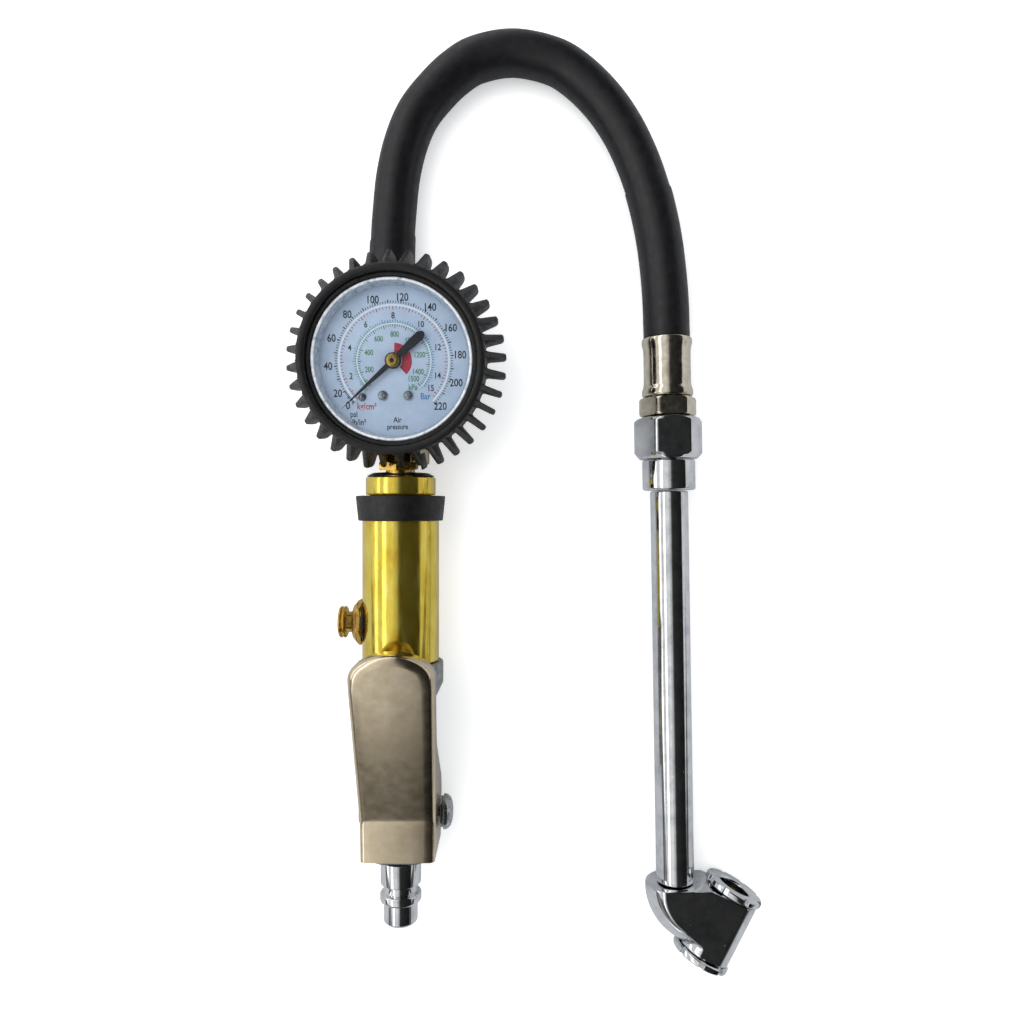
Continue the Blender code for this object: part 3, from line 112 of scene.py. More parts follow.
def add_node(tree, kind, settings=None, links=None):
    """Add a node, set its sockets or its own settings, and link (node, output) pairs to its inputs."""
    node = tree.nodes.new(kind)
    for name, value in (settings or {}).items():
        if isinstance(name, str) and hasattr(node, name):
            setattr(node, name, value)
        else:
            node.inputs[name].default_value = value
    for name, (source, output) in (links or {}).items():
        tree.links.new(source.outputs[output], node.inputs[name])
    return node


def set_stops(ramp, stops):
    """Give a colour ramp its stops: (position, linear colour) pairs, in order."""
    while len(ramp.color_ramp.elements) < len(stops):
        ramp.color_ramp.elements.new(1.0)
    for element, (position, colour) in zip(ramp.color_ramp.elements, stops):
        element.position = position
        element.color = colour


# %% The studio that glossy rays see
def grey(value):
    return (value, value, value, 1.0)


# Brightness of the surroundings by angle from straight up, in degrees towards +X.
PANELS = ((-90, 0.80), (-76, 0.85), (-74, 2.2), (-67, 2.2), (-65, 0.80), (-50, 0.72), (-47, 2.4), (-39, 2.4),
          (-36, 0.85), (-16, 0.88), (-12, 0.62), (-4, 0.50), (1, 0.085), (8, 0.028), (28, 0.020),
          (42, 0.014), (66, 0.010), (69, 0.72), (80, 0.66), (90, 0.80))
world = bpy.data.worlds.new("studio")
world.use_nodes = True
tree = world.node_tree
background = tree.nodes["Background"]
direction = add_node(tree, "ShaderNodeTexCoord")
parts = add_node(tree, "ShaderNodeSeparateXYZ", links={"Vector": (direction, "Generated")})
# By angle towards the foot of the grip: dark low down, which shades the lever's lower half.
FOOT = ((-90, 0.9), (-84, 0.85), (-79, 0.16), (-53.5, 0.12), (-49.5, 1.0), (90, 1.0))


def bands(axis, stops):
    """A ramp of greys by a ray's angle from straight up towards one axis."""
    tilt = add_node(tree, "ShaderNodeMath", {"operation": "ARCTAN2"}, {0: (parts, axis), 1: (parts, "Z")})
    share = add_node(tree, "ShaderNodeMapRange", {"From Min": -math.pi, "From Max": math.pi},
        {"Value": (tilt, 0)})
    ramp = add_node(tree, "ShaderNodeValToRGB", links={"Fac": (share, "Result")})
    set_stops(ramp, [(0.5 + angle / 360, grey(value)) for angle, value in stops])
    return ramp


seen = add_node(tree, "ShaderNodeVectorMath", {"operation": "MULTIPLY"},
    {0: (bands("X", PANELS), "Color"), 1: (bands("Y", FOOT), "Color")})
rays = add_node(tree, "ShaderNodeLightPath")
PLAIN_LIGHT = linear("#f4f6f8")
glossy_or_plain = add_node(tree, "ShaderNodeMix", {"data_type": "RGBA", 6: PLAIN_LIGHT},
    {0: (rays, "Is Glossy Ray"), 7: (seen, "Vector")})
tree.links.new(glossy_or_plain.outputs[2], background.inputs["Color"])
background.inputs["Strength"].default_value = 0.92
bpy.context.scene.world = world
print("studio panels:", len(PANELS), "stops across,", len(FOOT), "stops lengthwise")

# %% The floor and one soft lamp
floor_mesh = bpy.data.meshes.new("floor")
HALF_FLOOR = 3.0
corners = [(x * HALF_FLOOR, y * HALF_FLOOR, 0) for x, y in ((-1, -1), (1, -1), (1, 1), (-1, 1))]
floor_mesh.from_pydata(corners, [], [(0, 1, 2, 3)])
floor = bpy.data.objects.new("floor", floor_mesh)
floor.location.z = -0.2 * MM
bpy.context.collection.objects.link(floor)
paper = bpy.data.materials.new("matt_paper")
paper.use_nodes = True
paper_shader = paper.node_tree.nodes["Principled BSDF"]
for socket, value in (("Roughness", 0.9), ("Specular IOR Level", 0.1),
        ("Emission Color", linear("#ffffff"))):
    paper_shader.inputs[socket].default_value = value
# The paper glows a little, as on a light table. In reflections it is greyer and doesn't glow, so that
# bright metal keeps its outline.
PAPER_GLOW = 0.38
paper_rays = add_node(paper.node_tree, "ShaderNodeLightPath")
paper_glow = add_node(paper.node_tree, "ShaderNodeMapRange", {"To Min": PAPER_GLOW, "To Max": 0.0},
    {"Value": (paper_rays, "Is Glossy Ray")})
paper.node_tree.links.new(paper_glow.outputs["Result"], paper_shader.inputs["Emission Strength"])
paper_shade = add_node(paper.node_tree, "ShaderNodeMix",
    {"data_type": "RGBA", 6: linear("#f8f8f8"), 7: linear("#c2c3c5")}, {0: (paper_rays, "Is Glossy Ray")})
paper.node_tree.links.new(paper_shade.outputs[2], paper_shader.inputs["Base Color"])
floor_mesh.materials.append(paper)

lamp_data = bpy.data.lights.new("soft_lamp", "AREA")
lamp_data.size = 0.7
lamp_data.energy = 3.2
lamp = bpy.data.objects.new("soft_lamp", lamp_data)
lamp.location = (-0.35, 0.30, 0.75)
lamp.rotation_euler = (Vector((middle.x, middle.y, 0)) - lamp.location).to_track_quat("-Z", "Y").to_euler()
lamp.visible_glossy = False
bpy.context.collection.objects.link(lamp)
print("lamp height in mm:", round(lamp.location.z / MM))

# %% [markdown]
# ## How a material is made here
#
# Each finish starts as a Principled shader with its constant values on the shader's own sockets. Small
# helpers then lay one effect each on top of it: a colour that wanders between two tones, a roughness that
# does the same, a fine grain or pits that tilt the light. Every pattern is measured in real
# millimetres.

# %% Start a finish, and say how it wanders
def new_finish(name, slot, base, roughness, metallic=0.0, **surface):
    """A material with constant sockets set; extra sockets are named with underscores for spaces."""
    material = bpy.data.materials.new(name)
    material.use_nodes = True
    shader = material.node_tree.nodes["Principled BSDF"]
    shader.inputs["Base Color"].default_value = linear(base)
    shader.inputs["Roughness"].default_value = roughness
    shader.inputs["Metallic"].default_value = metallic
    for socket, value in surface.items():
        shader.inputs[socket.replace("_", " ")].default_value = value
    material["slot"] = slot
    return material


def pattern_place(material, stretch=(1, 1, 1)):
    """The piece's own coordinates, in metres, stretched along its axes."""
    tree = material.node_tree
    place = add_node(tree, "ShaderNodeTexCoord")
    return add_node(tree, "ShaderNodeMapping", {"Scale": stretch}, {"Vector": (place, "Object")})


def cloud(material, size, detail, stretch, **settings):
    """A value that wanders between 0 and 1, in patches of a size in mm."""
    return add_node(material.node_tree, "ShaderNodeTexNoise",
        {"Scale": 1 / (size * MM), "Detail": detail, **settings},
        {"Vector": (pattern_place(material, stretch), "Vector")})


def tone(material, stops, size, stretch=(1, 1, 1), detail=4.0):
    """Let the base colour wander through hex tones, in patches of a size in mm."""
    tree = material.node_tree
    patches = cloud(material, size, detail, stretch, Roughness=0.6)
    ramp = add_node(tree, "ShaderNodeValToRGB", links={"Fac": (patches, "Fac")})
    set_stops(ramp, [(position, linear(colour)) for position, colour in stops])
    tree.links.new(ramp.outputs["Color"], tree.nodes["Principled BSDF"].inputs["Base Color"])


def sheen_range(material, low, high, size, stretch=(1, 1, 1)):
    """Let the roughness wander between two values, in patches of a size in mm."""
    tree = material.node_tree
    span = add_node(tree, "ShaderNodeMapRange", {"From Min": 0.3, "From Max": 0.7, "To Min": low,
        "To Max": high}, {"Value": (cloud(material, size, 5.0, stretch), "Fac")})
    tree.links.new(span.outputs["Result"], tree.nodes["Principled BSDF"].inputs["Roughness"])


def lay_bump(material, height_node, output, depth):
    """Tilt the light by a height pattern whose full height is depth mm, on top of any earlier one."""
    tree = material.node_tree
    socket = tree.nodes["Principled BSDF"].inputs["Normal"]
    bump = add_node(tree, "ShaderNodeBump", {"Distance": depth * MM, "Strength": 1.0},
        {"Height": (height_node, output)})
    if socket.is_linked:
        tree.links.new(socket.links[0].from_socket, bump.inputs["Normal"])
    tree.links.new(bump.outputs["Normal"], socket)


def grain(material, size, depth, stretch=(1, 1, 1), detail=3.0):
    """A fine surface grain of a size and depth in mm."""
    lay_bump(material, cloud(material, size, detail, stretch), "Fac", depth)


def pits(material, spacing, radius, depth):
    """Small round dents, one per cell of a spacing in mm."""
    cells = add_node(material.node_tree, "ShaderNodeTexVoronoi",
        {"Scale": 1 / (spacing * MM), "Randomness": 1.0}, {"Vector": (pattern_place(material), "Vector")})
    bowl = add_node(material.node_tree, "ShaderNodeMapRange", {"From Max": radius / spacing},
        {"Value": (cells, "Distance")})
    lay_bump(material, bowl, "Result", depth)


print("helpers ready")

# %% [markdown]
# ## The finishes
#
# One cell for each real surface: what it is made of, how it was worked, and what that gives the eye.

# %% Rubbers and plastics
# Moulded nitrile rubber: nearly black, softly shining, with a fine grain and a little grey bloom on it.
boot_rubber = new_finish("moulded_rubber", "black_rubber", "#101012", 0.42, IOR=1.52, Specular_IOR_Level=0.5)
tone(boot_rubber, [(0.35, "#0b0b0d"), (0.62, "#121214"), (0.80, "#202023")], 2.2, detail=8.0)
sheen_range(boot_rubber, 0.34, 0.58, 1.5)
grain(boot_rubber, 0.35, 0.02)

# Extruded hose rubber: smooth, blue-black and lightly polished by handling, with faint lengthwise streaks.
hose_rubber = new_finish("extruded_rubber", "hose_rubber", "#131316", 0.40, IOR=1.46)
tone(hose_rubber, [(0.30, "#0f0f12"), (0.60, "#151518"), (0.85, "#222226")], 3.0, detail=7.0)
sheen_range(hose_rubber, 0.30, 0.50, 2.5)
grain(hose_rubber, 0.5, 0.012)

# Moulded polyamide for the bezel and washers: black, a little harder and glossier than the rubber.
black_nylon = new_finish("moulded_nylon", "black_plastic", "#101012", 0.30, IOR=1.53)
tone(black_nylon, [(0.3, "#0b0b0c"), (0.7, "#17171a")], 1.5)
sheen_range(black_nylon, 0.22, 0.42, 1.0)
grain(black_nylon, 0.3, 0.006)

# Cast acrylic for the lens: clear, with a polished face that mirrors a little of the studio.
clear_acrylic = bpy.data.materials.new("clear_acrylic")
clear_acrylic.use_nodes = True
clear_acrylic["slot"] = "clear_lens"
tree = clear_acrylic.node_tree
tree.nodes.remove(tree.nodes["Principled BSDF"])
mirror_share = add_node(tree, "ShaderNodeFresnel", {"IOR": 1.30})
see_through = add_node(tree, "ShaderNodeBsdfTransparent", {"Color": linear("#f6f9fb")})
haze_place = add_node(tree, "ShaderNodeTexCoord")
haze = add_node(tree, "ShaderNodeTexNoise", {"Scale": 1 / (6 * MM), "Detail": 6.0},
    {"Vector": (haze_place, "Object")})
haze_rough = add_node(tree, "ShaderNodeMapRange", {"To Min": 0.02, "To Max": 0.12}, {"Value": (haze, "Fac")})
mirror = add_node(tree, "ShaderNodeBsdfGlossy", {"Color": grey(1.0)}, {"Roughness": (haze_rough, "Result")})
acrylic_mix = add_node(tree, "ShaderNodeMixShader", {},
    {0: (mirror_share, "Fac"), 1: (see_through, 0), 2: (mirror, 0)})
tree.links.new(acrylic_mix.outputs[0], tree.nodes["Material Output"].inputs["Surface"])

# The lens's thick moulded rim is painted milky bright: its pale colour is a painted glow that stands in for the
# light its clear edge gathers.
rim_painted_glow_acrylic = new_finish("edge_lit_acrylic", "clear_lens", "#dfe6ec", 0.12, IOR=1.49, Coat_Weight=0.6)
tone(rim_painted_glow_acrylic, [(0.30, "#8f979f"), (0.45, "#d7dde3"), (0.70, "#ffffff")], 1.6, detail=6.0)
sheen_range(rim_painted_glow_acrylic, 0.05, 0.25, 1.2)

# %% Bright metals
# Polished chrome plate: a neutral mirror with hair scratches, a few pits and a breath of haze.
chrome = new_finish("polished_chrome", "chrome", "#e4e6e8", 0.06, 1.0)
tone(chrome, [(0.32, "#c9ccd0"), (0.55, "#e6e8ea"), (0.80, "#f2f3f4")], 5.0, detail=8.0)
sheen_range(chrome, 0.04, 0.13, 2.0)
grain(chrome, 1.6, 0.006)
pits(chrome, 5.0, 0.28, 0.05)

# Satin nickel plate over a pressed or crimped part: warm grey, with the soft texture of the blasted metal
# below.
satin_nickel = new_finish("satin_nickel", "satin_nickel", "#c6bba3", 0.27, 1.0)
tone(satin_nickel, [(0.30, "#b5a98f"), (0.55, "#c8bda5"), (0.80, "#d4cab6")], 4.0, detail=8.0)
sheen_range(satin_nickel, 0.22, 0.34, 1.2)
grain(satin_nickel, 0.45, 0.010)
pits(satin_nickel, 4.5, 0.22, 0.03)

# Pressed sheet, polished before it was nickel plated: calm and satin, with only the finest orange peel.
pressed_nickel = new_finish("pressed_nickel", "plated_ferrule", "#e2d2b4", 0.17, 1.0)
tone(pressed_nickel, [(0.30, "#d6c5a6"), (0.55, "#e3d3b6"), (0.80, "#ecdfc8")], 6.0, detail=8.0)
sheen_range(pressed_nickel, 0.14, 0.21, 2.5)
grain(pressed_nickel, 0.28, 0.0022)

# Champagne-coloured ferrules: nickel as plated, left bright, with the marks of the crimping jaws.
ferrule_nickel = new_finish("crimped_nickel", "plated_ferrule", "#e2d9c6", 0.10, 1.0)
tone(ferrule_nickel, [(0.30, "#c4baa6"), (0.55, "#e2dac8"), (0.80, "#f0ebe0")], 2.5, detail=7.0)
sheen_range(ferrule_nickel, 0.07, 0.20, 1.2)
grain(ferrule_nickel, 1.1, 0.015)

# Gold-anodised aluminium: drawn tube, so its finest lines run lengthwise under the dyed oxide layer.
gold_anodised = new_finish("gold_anodised", "gold_anodised", "#efd455", 0.12, 0.95, Coat_Weight=0.35,
    Coat_Roughness=0.05)
tone(gold_anodised, [(0.30, "#dcb73a"), (0.50, "#eed350"), (0.75, "#f6e67c")], 3.0, stretch=(1, 1, 0.35),
    detail=8.0)
sheen_range(gold_anodised, 0.09, 0.22, 1.0, stretch=(1, 1, 0.2))
grain(gold_anodised, 0.8, 0.004, stretch=(1, 1, 0.12))
pits(gold_anodised, 3.6, 0.24, 0.05)

# Turned brass: warm, with fine rings from the lathe and a thin brown tarnish.
turned_brass = new_finish("turned_brass", "brass", "#d9b25a", 0.18, 1.0)
tone(turned_brass, [(0.30, "#b48c3c"), (0.52, "#d8b058"), (0.75, "#ecca78")], 1.8, detail=7.0)
sheen_range(turned_brass, 0.14, 0.34, 0.9)
grain(turned_brass, 0.5, 0.006)

# %% Duller metals
# Die-cast zinc, tumbled and left bare: light grey with the small bumps of the casting skin.
cast_zinc = new_finish("cast_zinc", "cast_zinc", "#a5a6a6", 0.42, 1.0)
tone(cast_zinc, [(0.30, "#7f8081"), (0.52, "#a6a7a7"), (0.78, "#c4c5c5")], 2.0, detail=9.0)
sheen_range(cast_zinc, 0.32, 0.55, 1.0)
grain(cast_zinc, 0.7, 0.05, detail=6.0)
pits(cast_zinc, 2.6, 0.30, 0.06)

# Zinc-plated steel for screws, nuts and springs: bluish grey and slightly cloudy.
plated_steel = new_finish("zinc_plated_steel", "steel", "#bfc2c4", 0.24, 1.0)
tone(plated_steel, [(0.30, "#8e9194"), (0.55, "#bfc2c4"), (0.80, "#dfe0e0")], 1.2, detail=7.0)
sheen_range(plated_steel, 0.16, 0.36, 0.8)
grain(plated_steel, 0.4, 0.008)

# Matt black paint on the stamped pointer, with lighter specks where it is thin.
pointer_paint = new_finish("matt_black_paint", "pointer_black", "#1b1d24", 0.45)
tone(pointer_paint, [(0.35, "#14161c"), (0.62, "#1f222a"), (0.82, "#3a3e48")], 0.8, detail=6.0)
grain(pointer_paint, 0.2, 0.006)

# %% The dial's paint and inks
# Baked enamel on an aluminium disc: a cool off-white, faintly cloudy and nearly matt.
dial_enamel = new_finish("baked_enamel", "dial_paint", "#d3deec", 0.45, IOR=1.5)
tone(dial_enamel, [(0.30, "#c3cee0"), (0.55, "#d2dcec"), (0.80, "#dfe7f3")], 9.0, detail=5.0)
grain(dial_enamel, 0.4, 0.003)


def new_ink(name, dark, light):
    """Screen-printed ink: flat and matt, slightly uneven where it thins."""
    ink = new_finish(name, "dial_paint", dark, 0.6)
    tone(ink, [(0.35, dark), (0.75, light)], 0.9, detail=4.0)
    return ink


black_ink = new_ink("black_ink", "#20242c", "#3b414d")
red_ink = new_ink("red_ink", "#b8283c", "#d6485a")
rose_ink = new_ink("rose_ink", "#a8566c", "#c27b8e")
blue_ink = new_ink("blue_ink", "#3f74b4", "#6a98cc")
teal_ink = new_ink("teal_ink", "#4a9c9c", "#79bdb9")
green_ink = new_ink("green_ink", "#3f7d55", "#6aa57e")
white_ink = new_ink("white_ink", "#f4f8fb", "#ffffff")
print("finishes:", len([material for material in bpy.data.materials if "slot" in material]))

# %% [markdown]
# ## Placing and finishing a piece
#
# A piece is made in the coordinates of whatever it stands on: the grip, the gauge, the arm. Those stands
# are read from the frame, from the joints' axes and from the CAD boxes, so that nothing has to be fitted by
# eye.

# %% Where the groups stand
joints = {joint["name"]: joint for joint in frame["joints"]}


def box_mm(node):
    """A CAD node's lowest and highest corner, in mm."""
    low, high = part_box(node)
    return Vector(low) / MM, Vector(high) / MM


def stand(origin, up, side):
    """A matrix with its z along up and its x near side; origin in metres."""
    up = Vector(up).normalized()
    side = (Vector(side) - up * Vector(side).dot(up)).normalized()
    turn = Matrix((side, up.cross(side), up)).transposed()
    return Matrix.Translation(origin) @ turn.to_4x4()


tube_low, tube_high = box_mm("handle_tube")
axis_height = (tube_low.z + tube_high.z) / 2
HANDLE = stand((0, 0, axis_height * MM), (0, 1, 0), (1, 0, 0))
dial_joint = joints["pointer_turn"]
GAUGE = stand(dial_joint["pos_m"], [-value for value in dial_joint["axis"]], (1, 0, 0))
print("grip axis at height", round(axis_height, 2), "mm; the tube ends at", round(tube_high.y, 2), "mm")


# %% Wrap up a mesh as a riding piece
SHARP = 35  # degrees between faces from which an edge stays sharp


def mesh_data(name, mesh, sharp=SHARP):
    """A bmesh in mm as smooth mesh data in metres; the bmesh is used up."""
    bmesh.ops.recalc_face_normals(mesh, faces=mesh.faces)
    bmesh.ops.scale(mesh, verts=mesh.verts, vec=(MM, MM, MM))
    data = bpy.data.meshes.new(name)
    mesh.to_mesh(data)
    mesh.free()
    smoothed(data, sharp)
    return data


def smoothed(data, sharp=SHARP):
    """Shade a mesh smooth, apart from its sharp edges."""
    data.shade_smooth()
    data.set_sharp_from_angle(angle=math.radians(sharp))


def settle(name, mesh, finish, place, body="root", instead=(), smooth=SHARP):
    """Turn a bmesh in mm into a finished piece that rides on its body and stands for CAD nodes."""
    bmesh.ops.remove_doubles(mesh, verts=mesh.verts, dist=0.0005)
    data = mesh_data(name, mesh, smooth)
    data.materials.append(finish)
    piece = bpy.data.objects.new(name, data)
    bpy.context.collection.objects.link(piece)
    piece.matrix_world = place
    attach(piece, body)
    if instead:
        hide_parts(*instead)
    return piece


def applied(piece):
    """Make a piece's modifiers part of its mesh."""
    graph = bpy.context.evaluated_depsgraph_get()
    shaped = bpy.data.meshes.new_from_object(piece.evaluated_get(graph))
    piece.modifiers.clear()
    piece.data = shaped
    return piece


def carve(piece, tool_mesh, operation="DIFFERENCE", place=None):
    """Cut a bmesh in mm out of a piece, or join it on, and forget the tool."""
    tool = bpy.data.objects.new("tool", mesh_data("tool", tool_mesh))
    bpy.context.collection.objects.link(tool)
    tool.matrix_world = place or piece.matrix_world
    modifier = piece.modifiers.new("shape", "BOOLEAN")
    modifier.operation = operation
    modifier.object = tool
    modifier.solver = "EXACT"
    bpy.context.view_layer.update()
    applied(piece)
    bpy.data.objects.remove(tool)
    smoothed(piece.data)


def relaxed(piece, cell, rounds):
    """Remake a piece in cells of so many mm and smooth it a few times, so that sharp edges turn soft."""
    remesh = piece.modifiers.new("cells", "REMESH")
    remesh.mode = "VOXEL"
    remesh.voxel_size = cell * MM
    relax = piece.modifiers.new("relax", "SMOOTH")
    relax.factor = 0.5
    relax.iterations = rounds
    applied(piece)


def bevelled(piece, width, segments=2):
    """Round every sharp edge of a piece by a small amount, in mm."""
    bevel = piece.modifiers.new("edge", "BEVEL")
    bevel.width = width * MM
    bevel.segments = segments
    bevel.limit_method = "ANGLE"
    bevel.angle_limit = math.radians(SHARP)
    bevel.harden_normals = False
    applied(piece)


print("pieces can be settled, carved, relaxed and bevelled")

# %% [markdown]
# ## Turned shapes
#
# Most fittings here come off a lathe, so most meshes are an outline turned about an axis. A real edge is
# never perfectly sharp: each corner of the outline is replaced by a short curve, and that thin curve is
# what catches the bright line along an edge. Hexagons are turned too: the distance from the axis is simply
# never allowed past the six flats, which gives the scalloped chamfer of a real nut.

# %% Soften an outline and turn it
def softened(outline, radius, closed):
    """Replace each corner of an outline by a short curve."""
    points = [Vector(point) for point in outline]
    count = len(points)
    soft = []
    for index, corner in enumerate(points):
        if not closed and index in (0, count - 1):
            soft.append(corner)
            continue
        before = points[index - 1] - corner
        after = points[(index + 1) % count] - corner
        reach = min(radius, 0.45 * before.length, 0.45 * after.length)
        start = corner + before.normalized() * reach
        end = corner + after.normalized() * reach
        for share in (0, 0.35, 0.65, 1):
            soft.append(start * (1 - share) ** 2 + corner * 2 * share * (1 - share) + end * share ** 2)
    return soft


def ringed(mesh, rings, closed):
    """Skin rings of equal length; a ring of one point closes an end."""
    made = [[mesh.verts.new(point) for point in ring] for ring in rings]
    pairs = list(zip(made, made[1:]))
    if closed:
        pairs.append((made[-1], made[0]))
    for low, high in pairs:
        for index in range(max(len(low), len(high))):
            after = (index + 1) % max(len(low), len(high))
            if len(low) == 1:
                mesh.faces.new((low[0], high[after], high[index]))
            elif len(high) == 1:
                mesh.faces.new((low[index], low[after], high[0]))
            else:
                mesh.faces.new((low[index], low[after], high[after], high[index]))
    return made


def capped(mesh, rings):
    """Skin rings, and close the first and the last with a flat face."""
    made = ringed(mesh, rings, closed=False)
    mesh.faces.new(made[0])
    mesh.faces.new(made[-1])


def turned_mesh(outline, sides=96, soft=0.15, flats=None):
    """A lathe body about z from (radius, height) points in mm.

    flats is (count, half width, angle of a corner), and may add the heights that it starts and ends at.
    """
    closed = outline[0][0] > 0 or outline[-1][0] > 0
    mesh = bmesh.new()
    rings = []
    for radius, height in softened(outline, soft, closed):
        if radius == 0:
            rings.append([Vector((0, 0, height))])
            continue
        ring = []
        for index in range(sides):
            angle = 2 * math.pi * index / sides
            reach = radius
            if flats and (len(flats) == 3 or flats[3] <= height <= flats[4]):
                count, half, corner = flats[:3]
                step = 2 * math.pi / count
                around = (angle - corner) % step - step / 2
                reach = min(radius, half / math.cos(around))
            ring.append(Vector((reach * math.cos(angle), reach * math.sin(angle), height)))
        rings.append(ring)
    ringed(mesh, rings, closed)
    return mesh


def turned(name, outline, finish, place, body="root", instead=(), **shape):
    return settle(name, turned_mesh(outline, **shape), finish, place, body, instead)


def rod(radius, low, high):
    return [(0, low), (radius, low), (radius, high), (0, high)]


def tube(outer, inner, low, high):
    return [(outer, low), (outer, high), (inner, high), (inner, low)]


def drill(piece, radius, low, high, place=None, sides=48):
    """Cut a round hole along the z axis of a place, between two heights in mm."""
    carve(piece, turned_mesh(rod(radius, low, high), sides=sides, soft=0.01), place=place)


def block(low, high):
    """A box between two corners."""
    mesh = bmesh.new()
    size = Vector(high) - Vector(low)
    spread = Matrix.Diagonal((*size, 1))
    bmesh.ops.create_cube(mesh, size=1, matrix=Matrix.Translation((Vector(high) + Vector(low)) / 2) @ spread)
    return mesh


print("turning helpers ready")

# %% [markdown]
# ## The hose
#
# The hose is one length of black rubber, about 14 mm thick, between two crimped ferrules. Its route is the
# CAD route, read through a smooth curve. It lies on the table, and rises only where its fittings lift it. A
# second, slightly larger rubber sleeve covers each end, cut off at a slant.

# %% The hose's route
HOSE_ROUTE = (  # in mm, and its second number counts from the tube's end
    (-0.2, 35.3, 8), (-0.2, 38.0, 8), (-0.8, 45.0, 7.7), (-2, 53.0, 7.3), (-3.3, 61.5, 7.2),
    (-4, 71.5, 7.2), (-3.9, 82.6, 7.2), (-3.2, 93.0, 7.2), (-2.1, 103.2, 7.2), (0.3, 113.5, 7.2),
    (4.2, 122.8, 7.2), (9.9, 130.2, 7.2), (16.1, 136.2, 7.2), (23.2, 140.5, 7.2), (34.7, 142.6, 7.2),
    (47, 140.2, 7.2), (55.2, 135.4, 7.2), (63.4, 127.4, 7.2), (69.7, 118.4, 7.2), (74.6, 108.3, 7.2),
    (78.2, 98.0, 7.2), (80.7, 87.7, 7.4), (82.3, 77.4, 7.9), (83.3, 64.5, 9.1), (83.66, 53.2, 9.5),
    (83.7, 50.4, 9.5),
)
HOSE_RADIUS = 7.0
SLEEVE_RADIUS = 7.3  # a little proud, so that its end shows as a seam
STEPS = 8


def smooth_route(points, steps):
    """Points read from the smooth curve through a route's own points."""
    route = [Vector(point) for point in points]
    ends = [route[0] * 2 - route[1], *route, route[-1] * 2 - route[-2]]
    smooth = []
    for index in range(len(route) - 1):
        p0, p1, p2, p3 = ends[index:index + 4]
        for step in range(steps):
            t = step / steps
            smooth.append(0.5 * (2 * p1 + (p2 - p0) * t + (2 * p0 - 5 * p1 + 4 * p2 - p3) * t * t
                + (3 * p1 - p0 - 3 * p2 + p3) * t ** 3))
    smooth.append(route[-1])
    return smooth


hose_points = smooth_route([Vector(point) + Vector((0, tube_high.y, 0)) for point in HOSE_ROUTE], STEPS)
ARM_LEAN = math.radians(0.9)
ARM = stand(hose_points[-1] * MM, (math.sin(ARM_LEAN), -math.cos(ARM_LEAN), 0), (1, 0, 0))
print("the arm starts at", [round(value, 1) for value in hose_points[-1]])


# %% The hose itself, as a swept mesh
SLANT_RINGS = 8  # how many rings share the slant of a cut end


def swept_mesh(points, radii, sides=40, slant_start=0.0, slant_end=0.0, level=(0, 0, 1)):
    """A round tube along points that lie square to level, with a radius for each; its ends may slant."""
    rings = []
    count = len(points)
    for index, point in enumerate(points):
        along = (points[min(index + 1, count - 1)] - points[max(index - 1, 0)]).normalized()
        across = along.cross(Vector(level)).normalized()
        up = across.cross(along).normalized()
        lean = (slant_start * max(0.0, 1 - index / SLANT_RINGS)
                + slant_end * max(0.0, 1 - (count - 1 - index) / SLANT_RINGS))
        ring = []
        for side in range(sides):
            angle = 2 * math.pi * side / sides
            out = across * math.cos(angle) + up * math.sin(angle)
            ring.append(point + out * radii[index] + along * lean * math.cos(angle))
        rings.append(ring)
    mesh = bmesh.new()
    ringed(mesh, [[points[0]], *rings, [points[-1]]], closed=False)
    return mesh


hose = settle("rubber_hose", swept_mesh(hose_points, [HOSE_RADIUS] * len(hose_points)), hose_rubber,
    Matrix.Identity(4), instead=("hose", "hose_sleeve_near", "hose_sleeve_far"))
near_steps = 6 * STEPS
far_steps = 5 * STEPS
for name, run, slant in (("near", hose_points[:near_steps + 1], (0, 1.3)),
        ("far", hose_points[-far_steps - 1:], (-1.3, 0))):
    radii = [SLEEVE_RADIUS] * len(run)
    radii[0] = radii[-1] = SLEEVE_RADIUS - 0.05
    settle(f"rubber_sleeve_{name}", swept_mesh(run, radii, 40, *slant), hose_rubber,
        Matrix.Identity(4))

# %% [markdown]
# ## The gauge's rubber boot
#
# A boot like this is moulded in one shot: a cup with thirty-six thin ribs that cushion the gauge when it is
# dropped. The ribs are low at the front and reach out further behind. The whole skin is one set of rings
# around the gauge's axis: every ring has the same points, so that the ribs stay crisp from front to back.

# %% The boot's outline at one depth, and the boot
RIBS = 36
RIB_HALF = 0.9
RIB_TURN = math.radians(3)
LIP_DEPTH = 2.4
CUP_DEPTH = 20.3
BOOT_DEPTH = 21.5
BACK_HOLE = 16.0
LOW_RIB = 0.25
FULL_RIB = 12.5
case_low, case_high = box_mm("gauge_case")
case_radius = (case_high.x - case_low.x) / 2
boot_radius = case_radius + 1.8
rib_reach = boot_radius + 5.9


def rib_ring(depth, reach):
    """Points round the boot at a depth: its round body with a rounded rib in every gap."""
    base = boot_radius
    profile = [(base, -2.3), (base, -1.5), (base + 0.2, -1.15), (base + 0.7, -0.98),
        (reach - 0.55, -RIB_HALF), (reach - 0.16, -0.7), (reach, -0.3)]
    profile += [(radius, -side) for radius, side in reversed(profile[1:])]
    ring = []
    for rib in range(RIBS):
        turn = RIB_TURN + 2 * math.pi * rib / RIBS
        for radius, side in profile:
            radius = min(radius, reach)
            angle = turn + side / max(radius, base)
            ring.append(Vector((radius * math.cos(angle), radius * math.sin(angle), -depth)))
    return ring


def round_ring(depth, radius):
    """The same points as a rib ring, but on a plain circle."""
    ring = rib_ring(depth, rib_reach)
    for point in ring:
        point.xy = point.xy.normalized() * radius
    return ring


